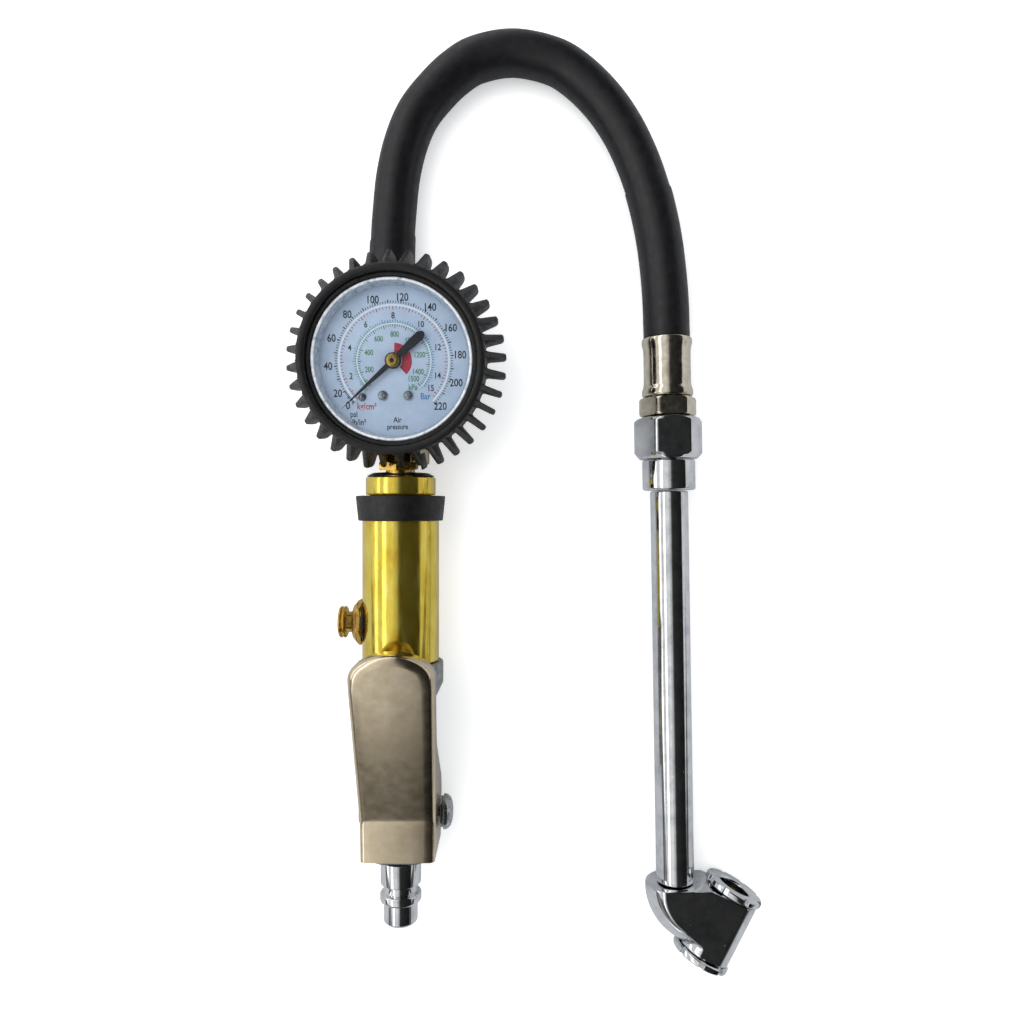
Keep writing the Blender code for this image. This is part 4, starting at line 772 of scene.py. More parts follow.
levels = [round_ring(depth, radius) for depth, radius in (
    (CUP_DEPTH, BACK_HOLE), (CUP_DEPTH, case_radius + 0.3), (LIP_DEPTH, case_radius + 0.3),
    (LIP_DEPTH, case_radius - 0.4), (0.45, case_radius - 0.4), (0.12, case_radius - 0.25),
    (0, case_radius + 0.05), (0, boot_radius - 0.75), (0.15, boot_radius - 0.3), (0.55, boot_radius))]
for share in (0.0, 0.06, 0.15, 0.3, 0.45, 0.6, 0.75, 0.88, 0.96, 1.0):
    reach = boot_radius + LOW_RIB + share * (rib_reach - boot_radius - LOW_RIB)
    levels.append(rib_ring(1.0 + share * (FULL_RIB - 1.0), reach))
for depth, less in ((13.2, 0), (15, 0), (17, 0), (19, 0), (20.4, 0.15), (21.1, 0.5), (21.4, 1.1),
        (BOOT_DEPTH, 1.7)):
    levels.append(rib_ring(depth, rib_reach - less))
levels += [round_ring(BOOT_DEPTH, boot_radius - 1.0), round_ring(BOOT_DEPTH, BACK_HOLE + 0.3),
           round_ring(BOOT_DEPTH - 0.3, BACK_HOLE)]
boot_mesh = bmesh.new()
ringed(boot_mesh, levels, closed=True)
boot = settle("rubber_boot", boot_mesh, boot_rubber, GAUGE, instead=("gauge_boot",), smooth=40)
carve(boot, block((-7.2, -rib_reach - 1, -BOOT_DEPTH - 1), (7.2, -20, -9.3)))
print("boot faces:", len(boot.data.polygons))

# %% [markdown]
# ## Case, bezel and lens
#
# Behind the boot's lip a black ring with two bayonet lugs holds the lens. The lens is a shallow acrylic
# cup: its face is so clear that only reflections show, while its thick moulded edge is painted milky, as a
# painted glow for the light that it gathers. Lamps have to reach the dial, so the face mixes a transparent
# shader with a mirror by the Fresnel share.

# %% Case, bezel, lens face and lens rim
lens_radius = case_radius - 1.9
case = turned("gauge_case_shell", [(0, -19.9), (case_radius, -19.9), (case_radius, -5.5),
    (case_radius - 0.7, -5.5), (case_radius - 0.7, -19.2), (0, -19.2)], plated_steel, GAUGE,
    instead=("gauge_case",), soft=0.5)
STEM_DEPTH = 15.2
STEM = stand(GAUGE @ Vector((0, 0, -STEM_DEPTH * MM)), -GAUGE.col[1].xyz, (1, 0, 0))
drill(case, 4.0, 18, 27, STEM)
turned("bezel", [(case_radius - 0.15, -5.2), (case_radius - 0.15, -2.7), (case_radius - 0.55, -2.45),
    (lens_radius + 0.35, -2.45), (lens_radius + 0.25, -2.7), (lens_radius + 0.25, -5.2)], black_nylon,
    GAUGE, instead=("bezel_ring",), sides=160)


def arc_solid(mesh, inner, outer, start, end, low, high, steps=24):
    """Add a curved bar between two radii, two angles in degrees and two heights."""
    rings = []
    for step in range(steps + 1):
        angle = math.radians(start + (end - start) * step / steps)
        out = Vector((math.cos(angle), math.sin(angle), 0))
        rings.append([out * inner + Vector((0, 0, low)), out * outer + Vector((0, 0, low)),
            out * outer + Vector((0, 0, high)), out * inner + Vector((0, 0, high))])
    capped(mesh, rings)


for name, start, end in (("upper", 112, 139), ("lower", -64, -38)):
    lug_mesh = bmesh.new()
    arc_solid(lug_mesh, lens_radius + 0.45, case_radius - 0.65, start, end, -3.0, -2.0)
    settle(f"bezel_lug_{name}", lug_mesh, black_nylon, GAUGE)
turned("lens_face", rod(lens_radius - 0.9, -4.2, -3.2), clear_acrylic,
       GAUGE, instead=("lens",), soft=0.02)
# The rim's milky colour is a painted glow, not light from the lamps.
turned("lens_rim", [(lens_radius, -7.5), (lens_radius, -2.75), (lens_radius - 0.35, -2.5),
    (lens_radius - 0.75, -2.65), (lens_radius - 0.85, -3.2), (lens_radius - 0.87, -4.2),
    (lens_radius - 1.5, -7.5)], rim_painted_glow_acrylic, GAUGE, sides=160)
print("lens radius in mm:", round(lens_radius, 2))

# %% [markdown]
# ## The dial's printing
#
# A dial is screen printed in several colours over white enamel. Four scales share one sweep: psi outside,
# then kg/cm², bar and kPa. A sprung gauge is slow off its stop, so the first twenty psi take less room than
# the others. All marks are thin raised films of ink, made as real geometry: ticks and arcs are small bars,
# and the words come from Blender's text tool. Everything in one ink is one piece.

# %% Where a pressure lies on the dial
SWEEP = ((0, 225), (20, 211), (40, 185), (220, -46))
DIAL_DEPTH = 7.8
INK_LOW = -DIAL_DEPTH + 0.005
INK_HIGH = -DIAL_DEPTH + 0.03
PSI_PER_KG = 14.22
PSI_PER_BAR = 14.50
PSI_PER_KPA = 0.145
CAPITAL_SHARE = 0.70  # a capital letter's height for a font size of one
BOLDER = 0.018  # how far the letters' outlines are pushed out, for a font size of one


def sweep_angle(psi):
    """The angle of a pressure on the dial, in degrees from the right-hand side."""
    for (low, angle_low), (high, angle_high) in zip(SWEEP, SWEEP[1:]):
        if psi <= high:
            return angle_low + (angle_high - angle_low) * (psi - low) / (high - low)
    return SWEEP[-1][1]


def tick(mesh, psi, inner, outer, width):
    """Add one short radial bar of ink."""
    half = math.degrees(width / 2 / outer)
    angle = sweep_angle(psi)
    arc_solid(mesh, inner, outer, angle - half, angle + half, INK_LOW, INK_HIGH, steps=1)


def word(mesh, text, x, y, height, width=0.82):
    """Add a word of ink, centred on a place; height is that of its capitals."""
    curve = bpy.data.curves.new("word", "FONT")
    curve.body = text
    curve.size = height / CAPITAL_SHARE
    curve.offset = BOLDER * curve.size
    curve.extrude = (INK_HIGH - INK_LOW) / 2
    curve.align_x = "CENTER"
    curve.align_y = "CENTER"
    curve.resolution_u = 3
    letters = bpy.data.objects.new("word", curve)
    bpy.context.collection.objects.link(letters)
    graph = bpy.context.evaluated_depsgraph_get()
    shape = bpy.data.meshes.new_from_object(letters.evaluated_get(graph))
    spread = Matrix.Diagonal((width, 1, 1, 1))
    shape.transform(Matrix.Translation((x, y, (INK_LOW + INK_HIGH) / 2)) @ spread)
    mesh.from_mesh(shape)
    bpy.data.objects.remove(letters)
    bpy.data.meshes.remove(shape)


prints = {ink: bmesh.new() for ink in (black_ink, red_ink, rose_ink, blue_ink, teal_ink, green_ink,
    white_ink)}
print("full sweep in degrees:", sweep_angle(0) - sweep_angle(220))

# %% Print the four scales
def scale(count, each, inks, major, minor):
    """Add ticks, each so many psi apart; every fifth is major. A size is (inner, outer, width) in mm."""
    for index in range(count):
        ink, size = (inks[0], major) if index % 5 == 0 else (inks[1], minor)
        tick(prints[ink], index * each, *size)


def numbers(ink, values, each, wide, tall, height, width=0.82):
    """Print a scale's numbers round an ellipse."""
    for value in values:
        angle = math.radians(sweep_angle(value * each))
        word(prints[ink], str(value), wide * math.cos(angle), tall * math.sin(angle), height, width)


BLUE_FROM = 35  # the bar scale's ticks are teal up to here and blue above
scale(111, 2, (black_ink, black_ink), (16.5, 17.45, 0.32), (16.5, 17.1, 0.24))
numbers(black_ink, range(0, 221, 20), 1, 19.2, 18.2, 2.15)
scale(77, PSI_PER_KG / 5, (red_ink, rose_ink), (14.6, 15.55, 0.26), (14.95, 15.55, 0.26))
numbers(black_ink, (2, 4, 6, 8, 10, 12, 14, 15), PSI_PER_KG, 13.3, 12.9, 1.75)
for index in range(75):
    ink = teal_ink if index < BLUE_FROM else blue_ink
    tick(prints[ink], index * PSI_PER_BAR / 5, 11.15, 12.1 if index % 5 == 0 else 11.75, 0.22)
scale(76, 20 * PSI_PER_KPA, (black_ink, green_ink), (9.4, 10.5, 0.22), (9.85, 10.5, 0.22))
numbers(green_ink, (200, 400, 600, 800, 1000, 1200, 1400, 1500), PSI_PER_KPA, 7.6, 7.6, 1.6, 0.74)
for ink, inner, outer, steps in ((white_ink, 15.72, 16.2, 120), (teal_ink, 10.95, 11.12, 100),
        (white_ink, 10.62, 10.95, 100)):
    arc_solid(prints[ink], inner, outer, SWEEP[0][1], SWEEP[-1][1], INK_LOW, INK_HIGH, steps=steps)
arc_solid(prints[red_ink], 2.4, 5.25, -47, 88, INK_LOW, INK_HIGH, steps=40)
for ink, text, x, y, height in ((black_ink, "Air", 0.8, -17.0, 1.6),
        (black_ink, "pressure", 0.8, -19.0, 1.5), (black_ink, "psi", -11.9, -15.4, 1.7),
        (black_ink, "lb/in²", -10.4, -17.7, 1.7), (red_ink, "kg/cm²", -8.1, -13.1, 1.8),
        (green_ink, "kPa", 5.4, -7.6, 1.6), (blue_ink, "Bar", 9.0, -10.2, 1.8)):
    word(prints[ink], text, x, y, height)
for ink, mesh in prints.items():
    film = settle(f"print_{ink.name}", mesh, ink, GAUGE, smooth=20)
    print(film.name, len(film.data.polygons), "faces")

# %% [markdown]
# ## Pointer, screws and stop pin
#
# The pointer is stamped from thin sheet, painted black, and pressed on the arbor with a turned brass cap.
# It rides on its own CAD body, so it turns with its joint. The dial is held by two cross-recessed screws,
# and a pin stops the pointer at zero.

# %% The pointer and its cap
REST_ANGLE = math.radians(222.5)
POINTER = GAUGE @ Matrix.Rotation(REST_ANGLE, 4, "Z")


def plate_mesh(outline, low, high, edge):
    """A flat outline made thick, with its upper edge rounded off by an inset ring."""
    points = [Vector(point) for point in outline]
    centre = sum(points, Vector((0, 0))) / len(points)

    def inner_ring(amount, level):
        ring = []
        for index, point in enumerate(points):
            after = points[(index + 1) % len(points)]
            toward = ((points[index - 1] - point).normalized() + (after - point).normalized()).normalized()
            if toward.dot(centre - point) < 0 and abs(toward.dot((centre - point).normalized())) > 0.2:
                toward = -toward
            ring.append(Vector((*(point + toward * amount), level)))
        return ring

    mesh = bmesh.new()
    capped(mesh, [[Vector((*point, low)) for point in points],
        [Vector((*point, high - edge)) for point in points], inner_ring(edge, high)])
    return mesh


blade = [(lens_radius - 2.3, 0), (12, -0.34), (2.2, -0.80), (-3.0, -0.95), (-7.5, -1.30), (-10.6, -1.35),
    (-12.0, -0.5), (-12.0, 0.5), (-10.6, 1.35), (-7.5, 1.30), (-3.0, 0.95), (2.2, 0.80), (12, 0.34)]
settle("pointer_blade", plate_mesh(blade, -6.1, -5.65, 0.12), pointer_paint, POINTER, body="pointer",
    instead=("pointer",), smooth=25)
turned("pointer_hub", rod(2.35, -6.4, -5.3), pointer_paint, POINTER, body="pointer",
       sides=64, soft=0.2)
turned("pointer_cap_turned", [(0, -5.3), (1.95, -5.3), (1.95, -4.75), (1.5, -4.45), (0.55, -4.4),
    (0.42, -4.7), (0, -4.75)], turned_brass, POINTER, body="pointer", instead=("pointer_cap",), sides=64)
turned("arbor_tip", [(0, -4.8), (0.33, -4.8), (0.33, -4.55), (0, -4.5)], pointer_paint, POINTER,
    body="pointer", sides=32, soft=0.05)


# %% Dial screws and stop pin
SLOT_REACH = 0.85
SLOT_HALF = 0.16
for side, x in (("left", -3.3), ("right", 4.1)):
    spot = GAUGE @ Matrix.Translation(Vector((x, -9.9, 0)) * MM) @ Matrix.Rotation(0.5 * x, 4, "Z")
    head = turned(f"dial_screw_head_{side}", [(0, -9.9), (0.5, -9.9), (0.5, -7.75), (1.45, -7.75),
        (1.45, -7.35), (1.05, -6.95), (0.5, -6.85), (0, -6.82)], plated_steel, spot,
        instead=(f"dial_screw_{side}",), sides=48)
    for wide, deep in ((SLOT_REACH, SLOT_HALF), (SLOT_HALF, SLOT_REACH)):
        carve(head, block((-wide, -deep, -7.3), (wide, deep, -6.5)))
turned("zero_stop", [(0, -8.9), (0.5, -8.9), (0.5, -7.78), (1.2, -7.78), (1.2, -7.5), (0.75, -7.2),
    (0.5, -7.1), (0.5, -5.9), (0, -5.82)], plated_steel,
    GAUGE @ Matrix.Translation(Vector((-9.3, -10.4, 0)) * MM), instead=("stop_pin",), sides=40, soft=0.08)
print("gauge front is complete")

# %% [markdown]
# ## The brass stem under the gauge
#
# The gauge hangs on a machined brass stem with a hexagon for the spanner. Hexagons on fittings are turned
# first and milled after, so their corners carry small round chamfers.

# %% Stem, seat and washer
turned("brass_stem", [(0, 10), (3.7, 10), (3.7, 29.1), (6.1, 29.45), (6.35, 29.75), (6.35, 31.45),
    (6.1, 31.79), (4.0, 31.79), (4.0, 37.4), (3.7, 37.8), (0, 37.8)], turned_brass, STEM,
    instead=("bourdon_socket",), flats=(6, 5.5, math.radians(90), 29.2, 31.8), sides=72)
seat = settle("brass_seat", block((-5.6, -21.3, -18.4), (8.4, -11.6, -15.5)), turned_brass, GAUGE)
carve(seat, block((4.2, -21.3, -15.6), (8.4, -14.8, -11.0)), operation="UNION")


bevelled(seat, 0.3, segments=3)
washer_low, washer_high = box_mm("cap_washer")
washer = turned("black_washer", [(0, washer_low.y), (10.3, washer_low.y), (10.3, washer_low.y + 0.15),
    (8.7, washer_high.y), (0, washer_high.y)], black_nylon, HANDLE, instead=("cap_washer",), soft=0.12)
drill(washer, 4.0, 18, 40, STEM)
PORT_HEIGHT = 8  # of the hose's port above the table
PORT = HANDLE @ Matrix.Translation((0, (axis_height - PORT_HEIGHT) * MM, 0))
drill(washer, 3.5, 80, 92, PORT)
print("washer from", round(washer_low.y, 2), "to", round(washer_high.y, 2), "mm")

# %% [markdown]
# ## Grip tube, grip ring and end cap
#
# Tube and cap are turned aluminium, anodised gold. The tube has a spot-faced hole for the bleed valve. The
# cap has a low lug at the back that carries the hose's port. A slightly conical rubber ring covers the
# joint between them.

# %% Turned tube with its bleed seat
tube_radius = (tube_high.x - tube_low.x) / 2
TUBE_WALL = 2.25
SPOT_DEPTH = 1.55
bleed_y = sum(corner.y for corner in box_mm("bleed_body")) / 2
SIDE = stand(Vector((0, bleed_y, axis_height)) * MM, (-1, 0, 0), (0, 1, 0))
grip = turned("gold_tube", tube(tube_radius, tube_radius - TUBE_WALL, tube_low.y, tube_high.y),
    gold_anodised, HANDLE, instead=("handle_tube",), sides=160, soft=0.35)
drill(grip, 7.2, tube_radius - SPOT_DEPTH, 30, SIDE, sides=96)
drill(grip, 4.2, 3, 30, SIDE, sides=64)
bevelled(grip, 0.12)
ring_low, ring_high = box_mm("grip_ring")
ring_radius = (ring_high.x - ring_low.x) / 2
turned("rubber_grip_ring", [(tube_radius + 0.3, ring_low.y), (ring_radius - 0.8, ring_low.y),
    (ring_radius, ring_high.y), (tube_radius - 0.3, ring_high.y), (tube_radius - 0.3, ring_high.y - 0.6),
    (tube_radius + 0.1, ring_high.y - 0.8)], boot_rubber, HANDLE, instead=("grip_ring",), sides=128,
    soft=0.4)

# %% End cap with its two ports
cap_low, cap_high = box_mm("end_cap")
cap_radius = (cap_high.x - cap_low.x) / 2
spigot = tube_radius - TUBE_WALL - 0.3
cap = turned("gold_cap", [(0, cap_low.y), (spigot, cap_low.y), (spigot, tube_high.y + 0.3),
    (cap_radius, tube_high.y + 0.3), (cap_radius, cap_high.y), (0, cap_high.y)], gold_anodised, HANDLE,
    instead=("end_cap",), sides=160, soft=0.45)
lug = block((-6, tube_high.y + 0.3, cap_low.z), (6, cap_high.y, axis_height))
bmesh.ops.bevel(lug, geom=lug.edges[:], offset=0.6, segments=3, affect="EDGES", profile=0.5)
carve(cap, lug, operation="UNION", place=Matrix.Identity(4))
drill(cap, 4.3, 20, 40, STEM)
drill(cap, 3.3, 80, 92, PORT)
bevelled(cap, 0.15)
print("tube radius", tube_radius, "mm, bleed valve at", round(bleed_y, 2), "mm")

# %% [markdown]
# ## Bleed valve
#
# The small bleed valve screws into the tube's spot face over a soft gasket. Its button is a turned disc
# with a groove round its rim, on a neck that slides in the valve's body.

# %% Gasket, body and button
bleed_start = tube_radius - SPOT_DEPTH + 0.3
turned("bleed_gasket_soft", tube(6.2, 4.2, bleed_start, bleed_start + 0.9), black_nylon, SIDE,
       instead=("bleed_gasket",), soft=0.2)
flange = bleed_start + 1.2
turned("bleed_hexagon", [(7.0, flange + 0.15), (7.1, flange + 0.5), (7.1, flange + 0.9),
    (6.75, flange + 1.2), (5.2, flange + 2.6), (3.55, flange + 2.6), (3.55, flange - 2),
    (6.0, flange - 0.3), (6.2, flange)], turned_brass, SIDE, instead=("bleed_body",),
    flats=(6, 6.2, 0.2, flange - 0.4, flange + 1.25), soft=0.12)
turned("bleed_button_turned", [(0, 8), (1.5, 8), (1.5, flange - 0.4), (3.2, flange - 0.4),
    (3.2, flange + 4.9), (4.55, flange + 4.9), (4.85, flange + 5.15), (4.85, flange + 5.65),
    (4.35, flange + 5.8), (4.35, flange + 6.1), (4.85, flange + 6.25), (4.85, flange + 6.7),
    (4.55, flange + 7.0), (0, flange + 7.0)], turned_brass, SIDE, body="bleed_button",
    instead=("bleed_button",), soft=0.1)
print("bleed flange starts", round(flange, 2), "mm from the tube's axis")

# %% [markdown]
# ## Valve body
#
# The body is a zinc die casting: soft edges everywhere, a slightly uneven skin. It starts from the CAD
# solid, which is remade as an even skin of small cells and relaxed, so that its sharp edges turn into cast
# radii.

# %% Cast skin from the CAD solid
def cast_copy(node, name, finish, cell, rounds, body="root"):
    """A softened copy of a CAD node: remeshed in cells of so many mm, then smoothed a few times."""
    source = bpy.data.objects[node]
    piece = bpy.data.objects.new(name, source.data.copy())
    bpy.context.collection.objects.link(piece)
    piece.matrix_world = source.matrix_world.copy()
    piece.data.materials.clear()
    piece.data.materials.append(finish)
    relaxed(piece, cell, rounds)
    piece.data.shade_smooth()
    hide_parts(node)
    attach(piece, body)
    return piece


valve_body = cast_copy("valve_body", "cast_valve_body", cast_zinc, 0.45, 5)
print("valve body faces:", len(valve_body.data.polygons))

# %% [markdown]
# ## Inlet plug
#
# A steel quick-coupling plug, turned and chromed: a collar against the body, a groove for the balls of the
# socket, a ridge and a nose.

# %% Quick-coupling plug
plug_low, plug_high = box_mm("inlet_plug")
body_low = box_mm("valve_body")[0]
ridge = plug_low.y + 9.4
turned("chrome_plug", [(3.2, plug_low.y), (4.3, plug_low.y), (5.2, plug_low.y + 0.9), (5.2, ridge - 2.9),
    (5.35, ridge - 2.6), (6.2, ridge - 2.35), (6.35, ridge - 1.9), (6.35, ridge - 0.2), (6.1, ridge + 0.15),
    (4.95, ridge + 0.6), (4.95, ridge + 2.6), (5.25, ridge + 2.85), (6.2, ridge + 3.1),
    (6.2, body_low.y - 0.3), (4.8, body_low.y - 0.3), (4.8, plug_high.y), (3.2, plug_high.y)], chrome,
    HANDLE, instead=("inlet_plug",), soft=0.18, sides=128)
print("plug from", plug_low.y, "to", plug_high.y, "mm")

# %% [markdown]
# ## Lever
#
# The lever is pressed from one sheet: a sloping top with a fold across it, and walls that come down on both
# sides. Pressing leaves rounded edges whose radius grows towards the rounded end. The skin is built as
# rings that follow the lever's outline: the wall's foot, the start of the rounding, its arc, and the flat
# panel inside. Each ring has the same number of points, so the panel closes cleanly across, and the sheet's
# thickness is added inward.

# %% The lever's outline and heights
lever_low, lever_high = box_mm("lever")
LEVER_REAR_HALF = 11.2
LEVER_FRONT_HALF = 12.3
SHOULDER = lever_high.y - 7.5
CREASE = -16.0
FLAT_TOP = 25.5
SLOPE = math.radians(18)
SHEET = 1.4
FOLD = 0.8
WALL = 8  # how deep the walls hang below the top, ahead of the place where they start to grow
GROW_FROM = CREASE + 24


def lever_top(y):
    """Height of the top sheet, with a rounded fold at the crease."""
    run = y - CREASE
    rounded = (run + math.sqrt(run * run + FOLD * FOLD)) / 2
    return FLAT_TOP + rounded * math.tan(SLOPE)


def lever_foot(y):
    """Height of the walls' lower edge: it slopes down towards the body, no lower than the CAD lever."""
    return max(lever_low.z, lever_top(y) - WALL - max(0, (GROW_FROM - y) * 0.9))


def lever_half(y):
    """Half the lever's width at a place along it, ahead of its end arch."""
    share = (y - lever_low.y) / (SHOULDER - lever_low.y)
    return LEVER_REAR_HALF + (LEVER_FRONT_HALF - LEVER_REAR_HALF) * min(1, share)


STATIONS = [lever_low.y, -27.4, -26.4, -25, -23, -21, -19, -18, -17.3, -16.8, -16.4, -16, -15.6, -15.2,
    -14.7, -14, -12, -8, -5, -2, 1, 4, 7, 10, 13, 16, 19, 22, 24.5, 26.5, 28.2, SHOULDER]
ARCH = 22
print("lever is", lever_high.y - lever_low.y, "mm long; its tip is", round(lever_top(lever_high.y), 2),
    "mm up")


# %% The lever's skin
def lever_line(inset):
    """The outline at an inset from the walls: up the right side, round the arch, down the left side."""
    right = [Vector((lever_half(y) - inset, y)) for y in STATIONS]
    arch = []
    for step in range(1, 2 * ARCH):
        angle = math.pi * step / (2 * ARCH)
        side = LEVER_FRONT_HALF - inset
        reach = lever_high.y - SHOULDER - inset
        arch.append(Vector((side * math.cos(angle), SHOULDER + reach * math.sin(angle))))
    left = [Vector((-point.x, point.y)) for point in reversed(right)]
    return right + arch + left


def corner_radius(y):
    """The pressing's edge radius: small along the sides, larger round the end."""
    return 1.5 + 1.7 * max(0, min(1, (y - SHOULDER + 3) / 8))


def lever_bow(point):
    """How far the panel bulges up at a place."""
    share = max(0, 1 - (point.x / lever_half(min(point.y, SHOULDER))) ** 2)
    return 0.4 * share


outer = lever_line(0)
count = len(outer)
rings = []
for height in (0, 0.25, 0.5, 0.75, 1.0):
    ring = []
    for point in outer:
        foot = lever_foot(point.y)
        shoulder = lever_top(point.y) - corner_radius(point.y)
        ring.append(Vector((*point, foot + (shoulder - foot) * height)))
    rings.append(ring)
FILLET = 6
for step in range(1, FILLET + 1):
    turn = math.pi / 2 * step / FILLET
    ring = []
    for index, point in enumerate(outer):
        radius = corner_radius(point.y)
        inner = lever_line(radius)[index]
        place = point.lerp(inner, 1 - math.cos(turn))
        rise = lever_bow(place) * (step / FILLET) ** 2
        ring.append(Vector((*place, lever_top(place.y) - radius * (1 - math.sin(turn)) + rise)))
    rings.append(ring)
lever_mesh = bmesh.new()
made = [[lever_mesh.verts.new(point) for point in ring] for ring in rings]
for low, high in zip(made, made[1:]):
    for index in range(count - 1):
        lever_mesh.faces.new((low[index], low[index + 1], high[index + 1], high[index]))
ACROSS = 10
edge_ring = made[-1]
rows = []
for index in range(count // 2):
    right = edge_ring[index]
    left = edge_ring[count - 1 - index]
    row = [right]
    for step in range(1, ACROSS):
        place = right.co.lerp(left.co, step / ACROSS)
        place.z = lever_top(place.y) + lever_bow(place)
        row.append(lever_mesh.verts.new(place))
    row.append(left)
    rows.append(row)
for low, high in zip(rows, rows[1:]):
    for step in range(ACROSS):
        lever_mesh.faces.new((low[step], low[step + 1], high[step + 1], high[step]))
tip = edge_ring[count // 2]
for step in range(ACROSS):
    lever_mesh.faces.new((rows[-1][step], rows[-1][step + 1], tip))
bmesh.ops.recalc_face_normals(lever_mesh, faces=lever_mesh.faces)
lever = settle("pressed_lever", lever_mesh, pressed_nickel, Matrix.Identity(4), body="lever",
    instead=("lever",), smooth=60)
up = sum(face.normal.z for face in lever.data.polygons)
thick = lever.modifiers.new("sheet", "SOLIDIFY")
thick.thickness = SHEET * MM
thick.offset = -1 if up > 0 else 1
thick.use_even_offset = False
applied(lever)
PIVOT = stand(Vector(joints["lever_press"]["pos_m"]), (1, 0, 0), (0, 1, 0))
drill(lever, 2.2, -20, 20, PIVOT)
print("lever faces:", len(lever.data.polygons))

# %% [markdown]
# ## Pivot screw, washer and nut
#
# A domed screw passes through both walls of the lever, with a washer under its head and a nut on the far
# side.

# %% Pivot pieces
turned("pivot_screw", [(0, -14.3), (1.6, -14.3), (1.9, -14.0), (1.9, 12.6), (5.4, 12.6), (5.4, 13.3),
    (5.1, 14.1), (4.2, 14.9), (2.8, 15.4), (1.4, 15.58), (0, 15.6)], plated_steel, PIVOT,
    instead=("lever_screw",), soft=0.25, sides=112)
turned("pivot_washer", tube(4.8, 2.2, 11.75, 12.3), plated_steel, PIVOT, instead=("lever_washer",),
    soft=0.12)
turned("pivot_nut", [(2.0, -14.0), (3.4, -14.0), (4.0, -13.65), (4.0, -12.05), (3.7, -11.75), (2.0, -11.75)],
       plated_steel, PIVOT, instead=("lever_nut",), flats=(6, 3.5, 0.3), soft=0.1, sides=72)
print("pivot height in mm:", round(PIVOT.translation.z / MM, 2))

# %% [markdown]
# ## Fittings at the hose's ends
#
# The hose is held by crimped ferrules. Each is a turned cup pressed on with dies, so it has a waist and two
# slightly flared rims. A hexagon on each fitting takes the spanner.

# %% The near fitting, behind the gauge
near_low, near_high = box_mm("hose_ferrule_near")
hex_low = box_mm("hose_fitting_near")[0]
hex_start = washer_high.y + 3.2
turned("near_hexagon", [(0, hex_low.y), (3.3, hex_low.y), (3.3, hex_start), (7.3, hex_start),
    (7.95, hex_start + 0.5), (7.95, near_low.y - 0.9), (7.3, near_low.y - 0.3), (0, near_low.y - 0.3)],
    satin_nickel, PORT, instead=("hose_fitting_near",), flats=(6, 7.0, 0, hex_start - 0.1, near_low.y),
    soft=0.12, sides=72)


CUP_BORE = 6.9


def ferrule_outline(low, high):
    """A crimped cup: flared rims, a waist in the middle, open towards the hose at its low end."""
    return [(CUP_BORE, low), (7.75, low), (7.9, low + 0.5), (7.9, low + 1.6), (7.45, low + 3.4),
        (7.4, low + 6), (7.4, high - 5), (7.55, high - 3.2), (7.95, high - 2.2), (8.05, high - 1.2),
        (8.0, high - 0.5), (7.6, high), (CUP_BORE, high)]


near_cup = [(radius, near_low.y + near_high.y - height)
            for radius, height in reversed(ferrule_outline(near_low.y, near_high.y))]
NEAR = stand(Vector((hose_points[0].x, 0, hose_points[0].z)) * MM, (0, 1, 0), (1, 0, 0))
turned("near_ferrule", near_cup, ferrule_nickel, NEAR, instead=("hose_ferrule_near",), soft=0.3)
print("near ferrule from", round(near_low.y, 1), "to", round(near_high.y, 1), "mm")

# %% [markdown]
# ## The rigid arm
#
# The arm is turned from bar: ferrule, hexagon, coupling nut and gland, then a long plain tube to the chuck.
# Its plating is bright, so its look comes from the studio's light and dark panels.

# %% Ferrule, hexagon, nut and gland
turned("far_ferrule", ferrule_outline(0.3, 18.7), ferrule_nickel, ARM, instead=("hose_ferrule_far",),
    soft=0.3, sides=128)
turned("far_hexagon", [(3, 19.0), (7.5, 19.0), (8.75, 19.35), (9.1, 19.9), (9.1, 24.2), (8.75, 24.75),
    (7.5, 25.1), (3, 25.1)], ferrule_nickel, ARM, instead=("hose_fitting_far",),
    flats=(6, 8.0, 0, 18.9, 25.2), soft=0.12, sides=96)
turned("arm_nut", [(3, 25.4), (8.8, 25.4), (9.9, 25.8), (10.85, 26.7), (10.85, 36.6), (9.9, 37.6),
    (9.1, 38.5), (3, 38.5)], chrome, ARM, instead=("coupling_nut",), flats=(6, 9.5, 0, 25.3, 38.6),
    soft=0.15, sides=144)
turned("gland", [(0, 30), (4, 30), (4, 38.8), (7.9, 38.8), (8.3, 39.2), (8.3, 47.9), (7.9, 48.4),
    (0, 48.4)], chrome, ARM, instead=("arm_gland",), soft=0.25, sides=128)
TUBE_END = 172.6
turned("long_tube", [(5.65, 48.7), (5.95, 49.0), (5.95, TUBE_END - 0.35), (5.7, TUBE_END - 0.1),
    (3.6, TUBE_END - 0.1), (3.6, 48.7)], chrome, ARM, instead=("extension_tube",), soft=0.2, sides=128)
print("arm length in mm:", TUBE_END)

# %% [markdown]
# ## Dual-foot chuck
#
# The chuck is forged and ground flat on both faces, then plated. The stem bends into a barrel with a mouth
# at each end: one faces up the arm and one faces away, so a valve on a dual wheel's inner tyre can be
# reached too. The forging's edges are soft, so it is built as one volume and relaxed.

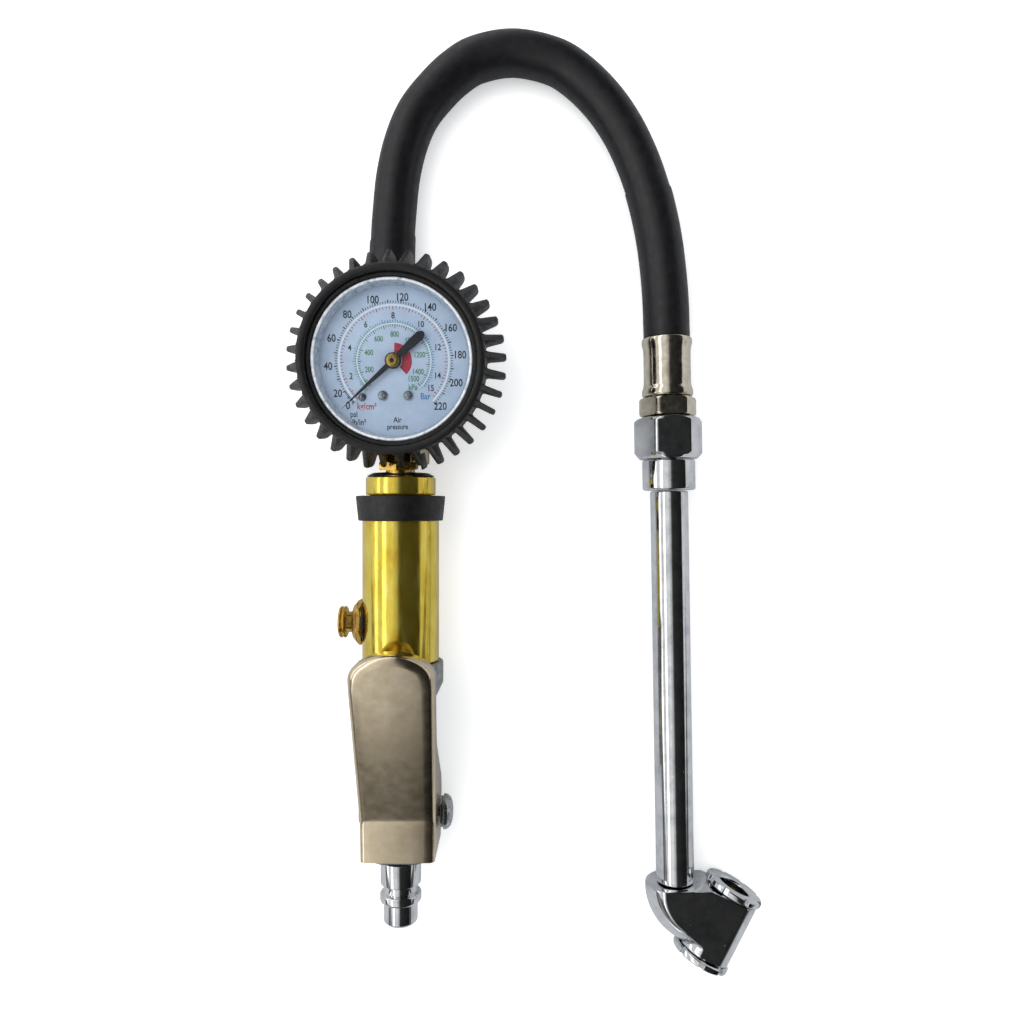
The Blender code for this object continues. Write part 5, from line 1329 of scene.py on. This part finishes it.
# %% The forged head
CHUCK_START = 172.9
CHUCK_SIDE = 13.1
CHUCK_DROP = 13.3
CHUCK_HALF = 7.95
chuck_centre = Vector((CHUCK_SIDE, 0, CHUCK_START - 0.3 + CHUCK_DROP))
upper = Vector(joints["poppet_upper_slide"]["axis"]) * -1
BARREL = stand(ARM @ (chuck_centre * MM), upper, ARM.col[2].xyz)
elbow_line = smooth_route([Vector((x, 0, CHUCK_START + z)) for x,
    z in ((-0.5, 0), (-0.4, 2.6), (0.3, 4.9), (1.6, 7.0), (3.4, 8.7), (5.9, 10.3), (9.5, 12.0),
    (13.1, 13.0))], 4)
head = settle("forged_head", swept_mesh(elbow_line, [9.0] * len(elbow_line), 56, level=(0, 1, 0)), chrome,
    ARM, instead=("chuck_head",))
carve(head, turned_mesh(rod(8.6, -10.2, 10.2), sides=72, soft=0.3), operation="UNION",
      place=BARREL)
web = [(-3, 0.3), (10.0, 0.1), (17.7, 4.0), (8.9, 21.6), (7.0, 18.1), (1.4, 13.2), (-2.0, 8.8)]
web_mesh = bmesh.new()
capped(web_mesh, [[Vector((x, level, CHUCK_START + z)) for x, z in web] for level in (-CHUCK_HALF,
    CHUCK_HALF)])
carve(head, web_mesh, operation="UNION")
print("chuck centre in mm:", [round(value / MM, 1) for value in BARREL.translation])
for low, high in ((CHUCK_HALF, CHUCK_HALF + 9), (-CHUCK_HALF - 9, -CHUCK_HALF)):
    carve(head, block((-30, low, 160), (40, high, 215)))
relaxed(head, 0.28, 6)
drill(head, 6.5, -12, 12, BARREL, sides=64)
drill(head, 3.3, CHUCK_START - 2, CHUCK_START + 8)
print("chuck head faces:", len(head.data.polygons))

# %% The two notched mouths
for name, sign in (("upper", 1), ("lower", -1)):
    end = BARREL if sign == 1 else BARREL @ Matrix.Rotation(math.pi, 4, "X")
    mouth = turned(f"mouth_{name}", [(4.9, 6.6), (6.2, 6.6), (6.2, 10.5), (8.7, 10.5), (9.2, 10.9),
        (9.2, 12.3), (8.8, 12.7), (5.5, 12.7), (4.9, 12.1)], chrome, end, instead=(f"chuck_ring_{name}",),
        soft=0.18, sides=96)
    for notch in range(8):
        spin = end @ Matrix.Rotation(notch * math.pi / 4 + 0.2, 4, "Z")
        carve(mouth, block((8.1, -0.75, 10.3), (10.5, 0.75, 13.2)), place=spin)
    bevelled(mouth, 0.15)
    turned(f"seal_{name}", [(6.0, 4.9), (6.0, 6.3), (3.3, 6.3), (3.0, 6.0), (3.0, 4.9)], black_nylon, end,
           instead=(f"chuck_seal_{name}",), soft=0.15, sides=64)
    turned(f"poppet_pin_{name}", [(0, 3.3), (4.6, 3.3), (4.6, 4.4), (4.4, 4.6), (1.5, 4.6), (1.1, 4.9),
        (1.1, 6.3), (0.8, 6.6), (0, 6.6)], turned_brass, end, body=f"poppet_{name}",
        instead=(f"poppet_{name}",), soft=0.08, sides=64)
print("mouth rings are done")

# %% [markdown]
# ## Finishes for the inner pieces
#
# The pieces inside keep their CAD shape. Each still gets the finish of what it is made of.

# %% Give every remaining CAD piece its finish
INNER = {
    turned_brass: ("valve_bush", "valve_cap", "pinion_arbor", "sector_gear", "movement_plate_back",
                   "movement_plate_front", "bourdon_tube"),
    plated_steel: ("valve_pin", "valve_spring", "bleed_spring", "link_bar", "hairspring", "poppet_spring_upper",
                   "poppet_spring_lower"),
    black_nylon: ("valve_seal", "bleed_seal", "tube_oring_lower", "tube_oring_upper"),
    dial_enamel: ("dial",),
}
for finish, nodes in INNER.items():
    for node in nodes:
        data = bpy.data.objects[node].data
        data.materials.clear()
        data.materials.append(finish)
print(sum(len(nodes) for nodes in INNER.values()), "inner pieces have a finish")
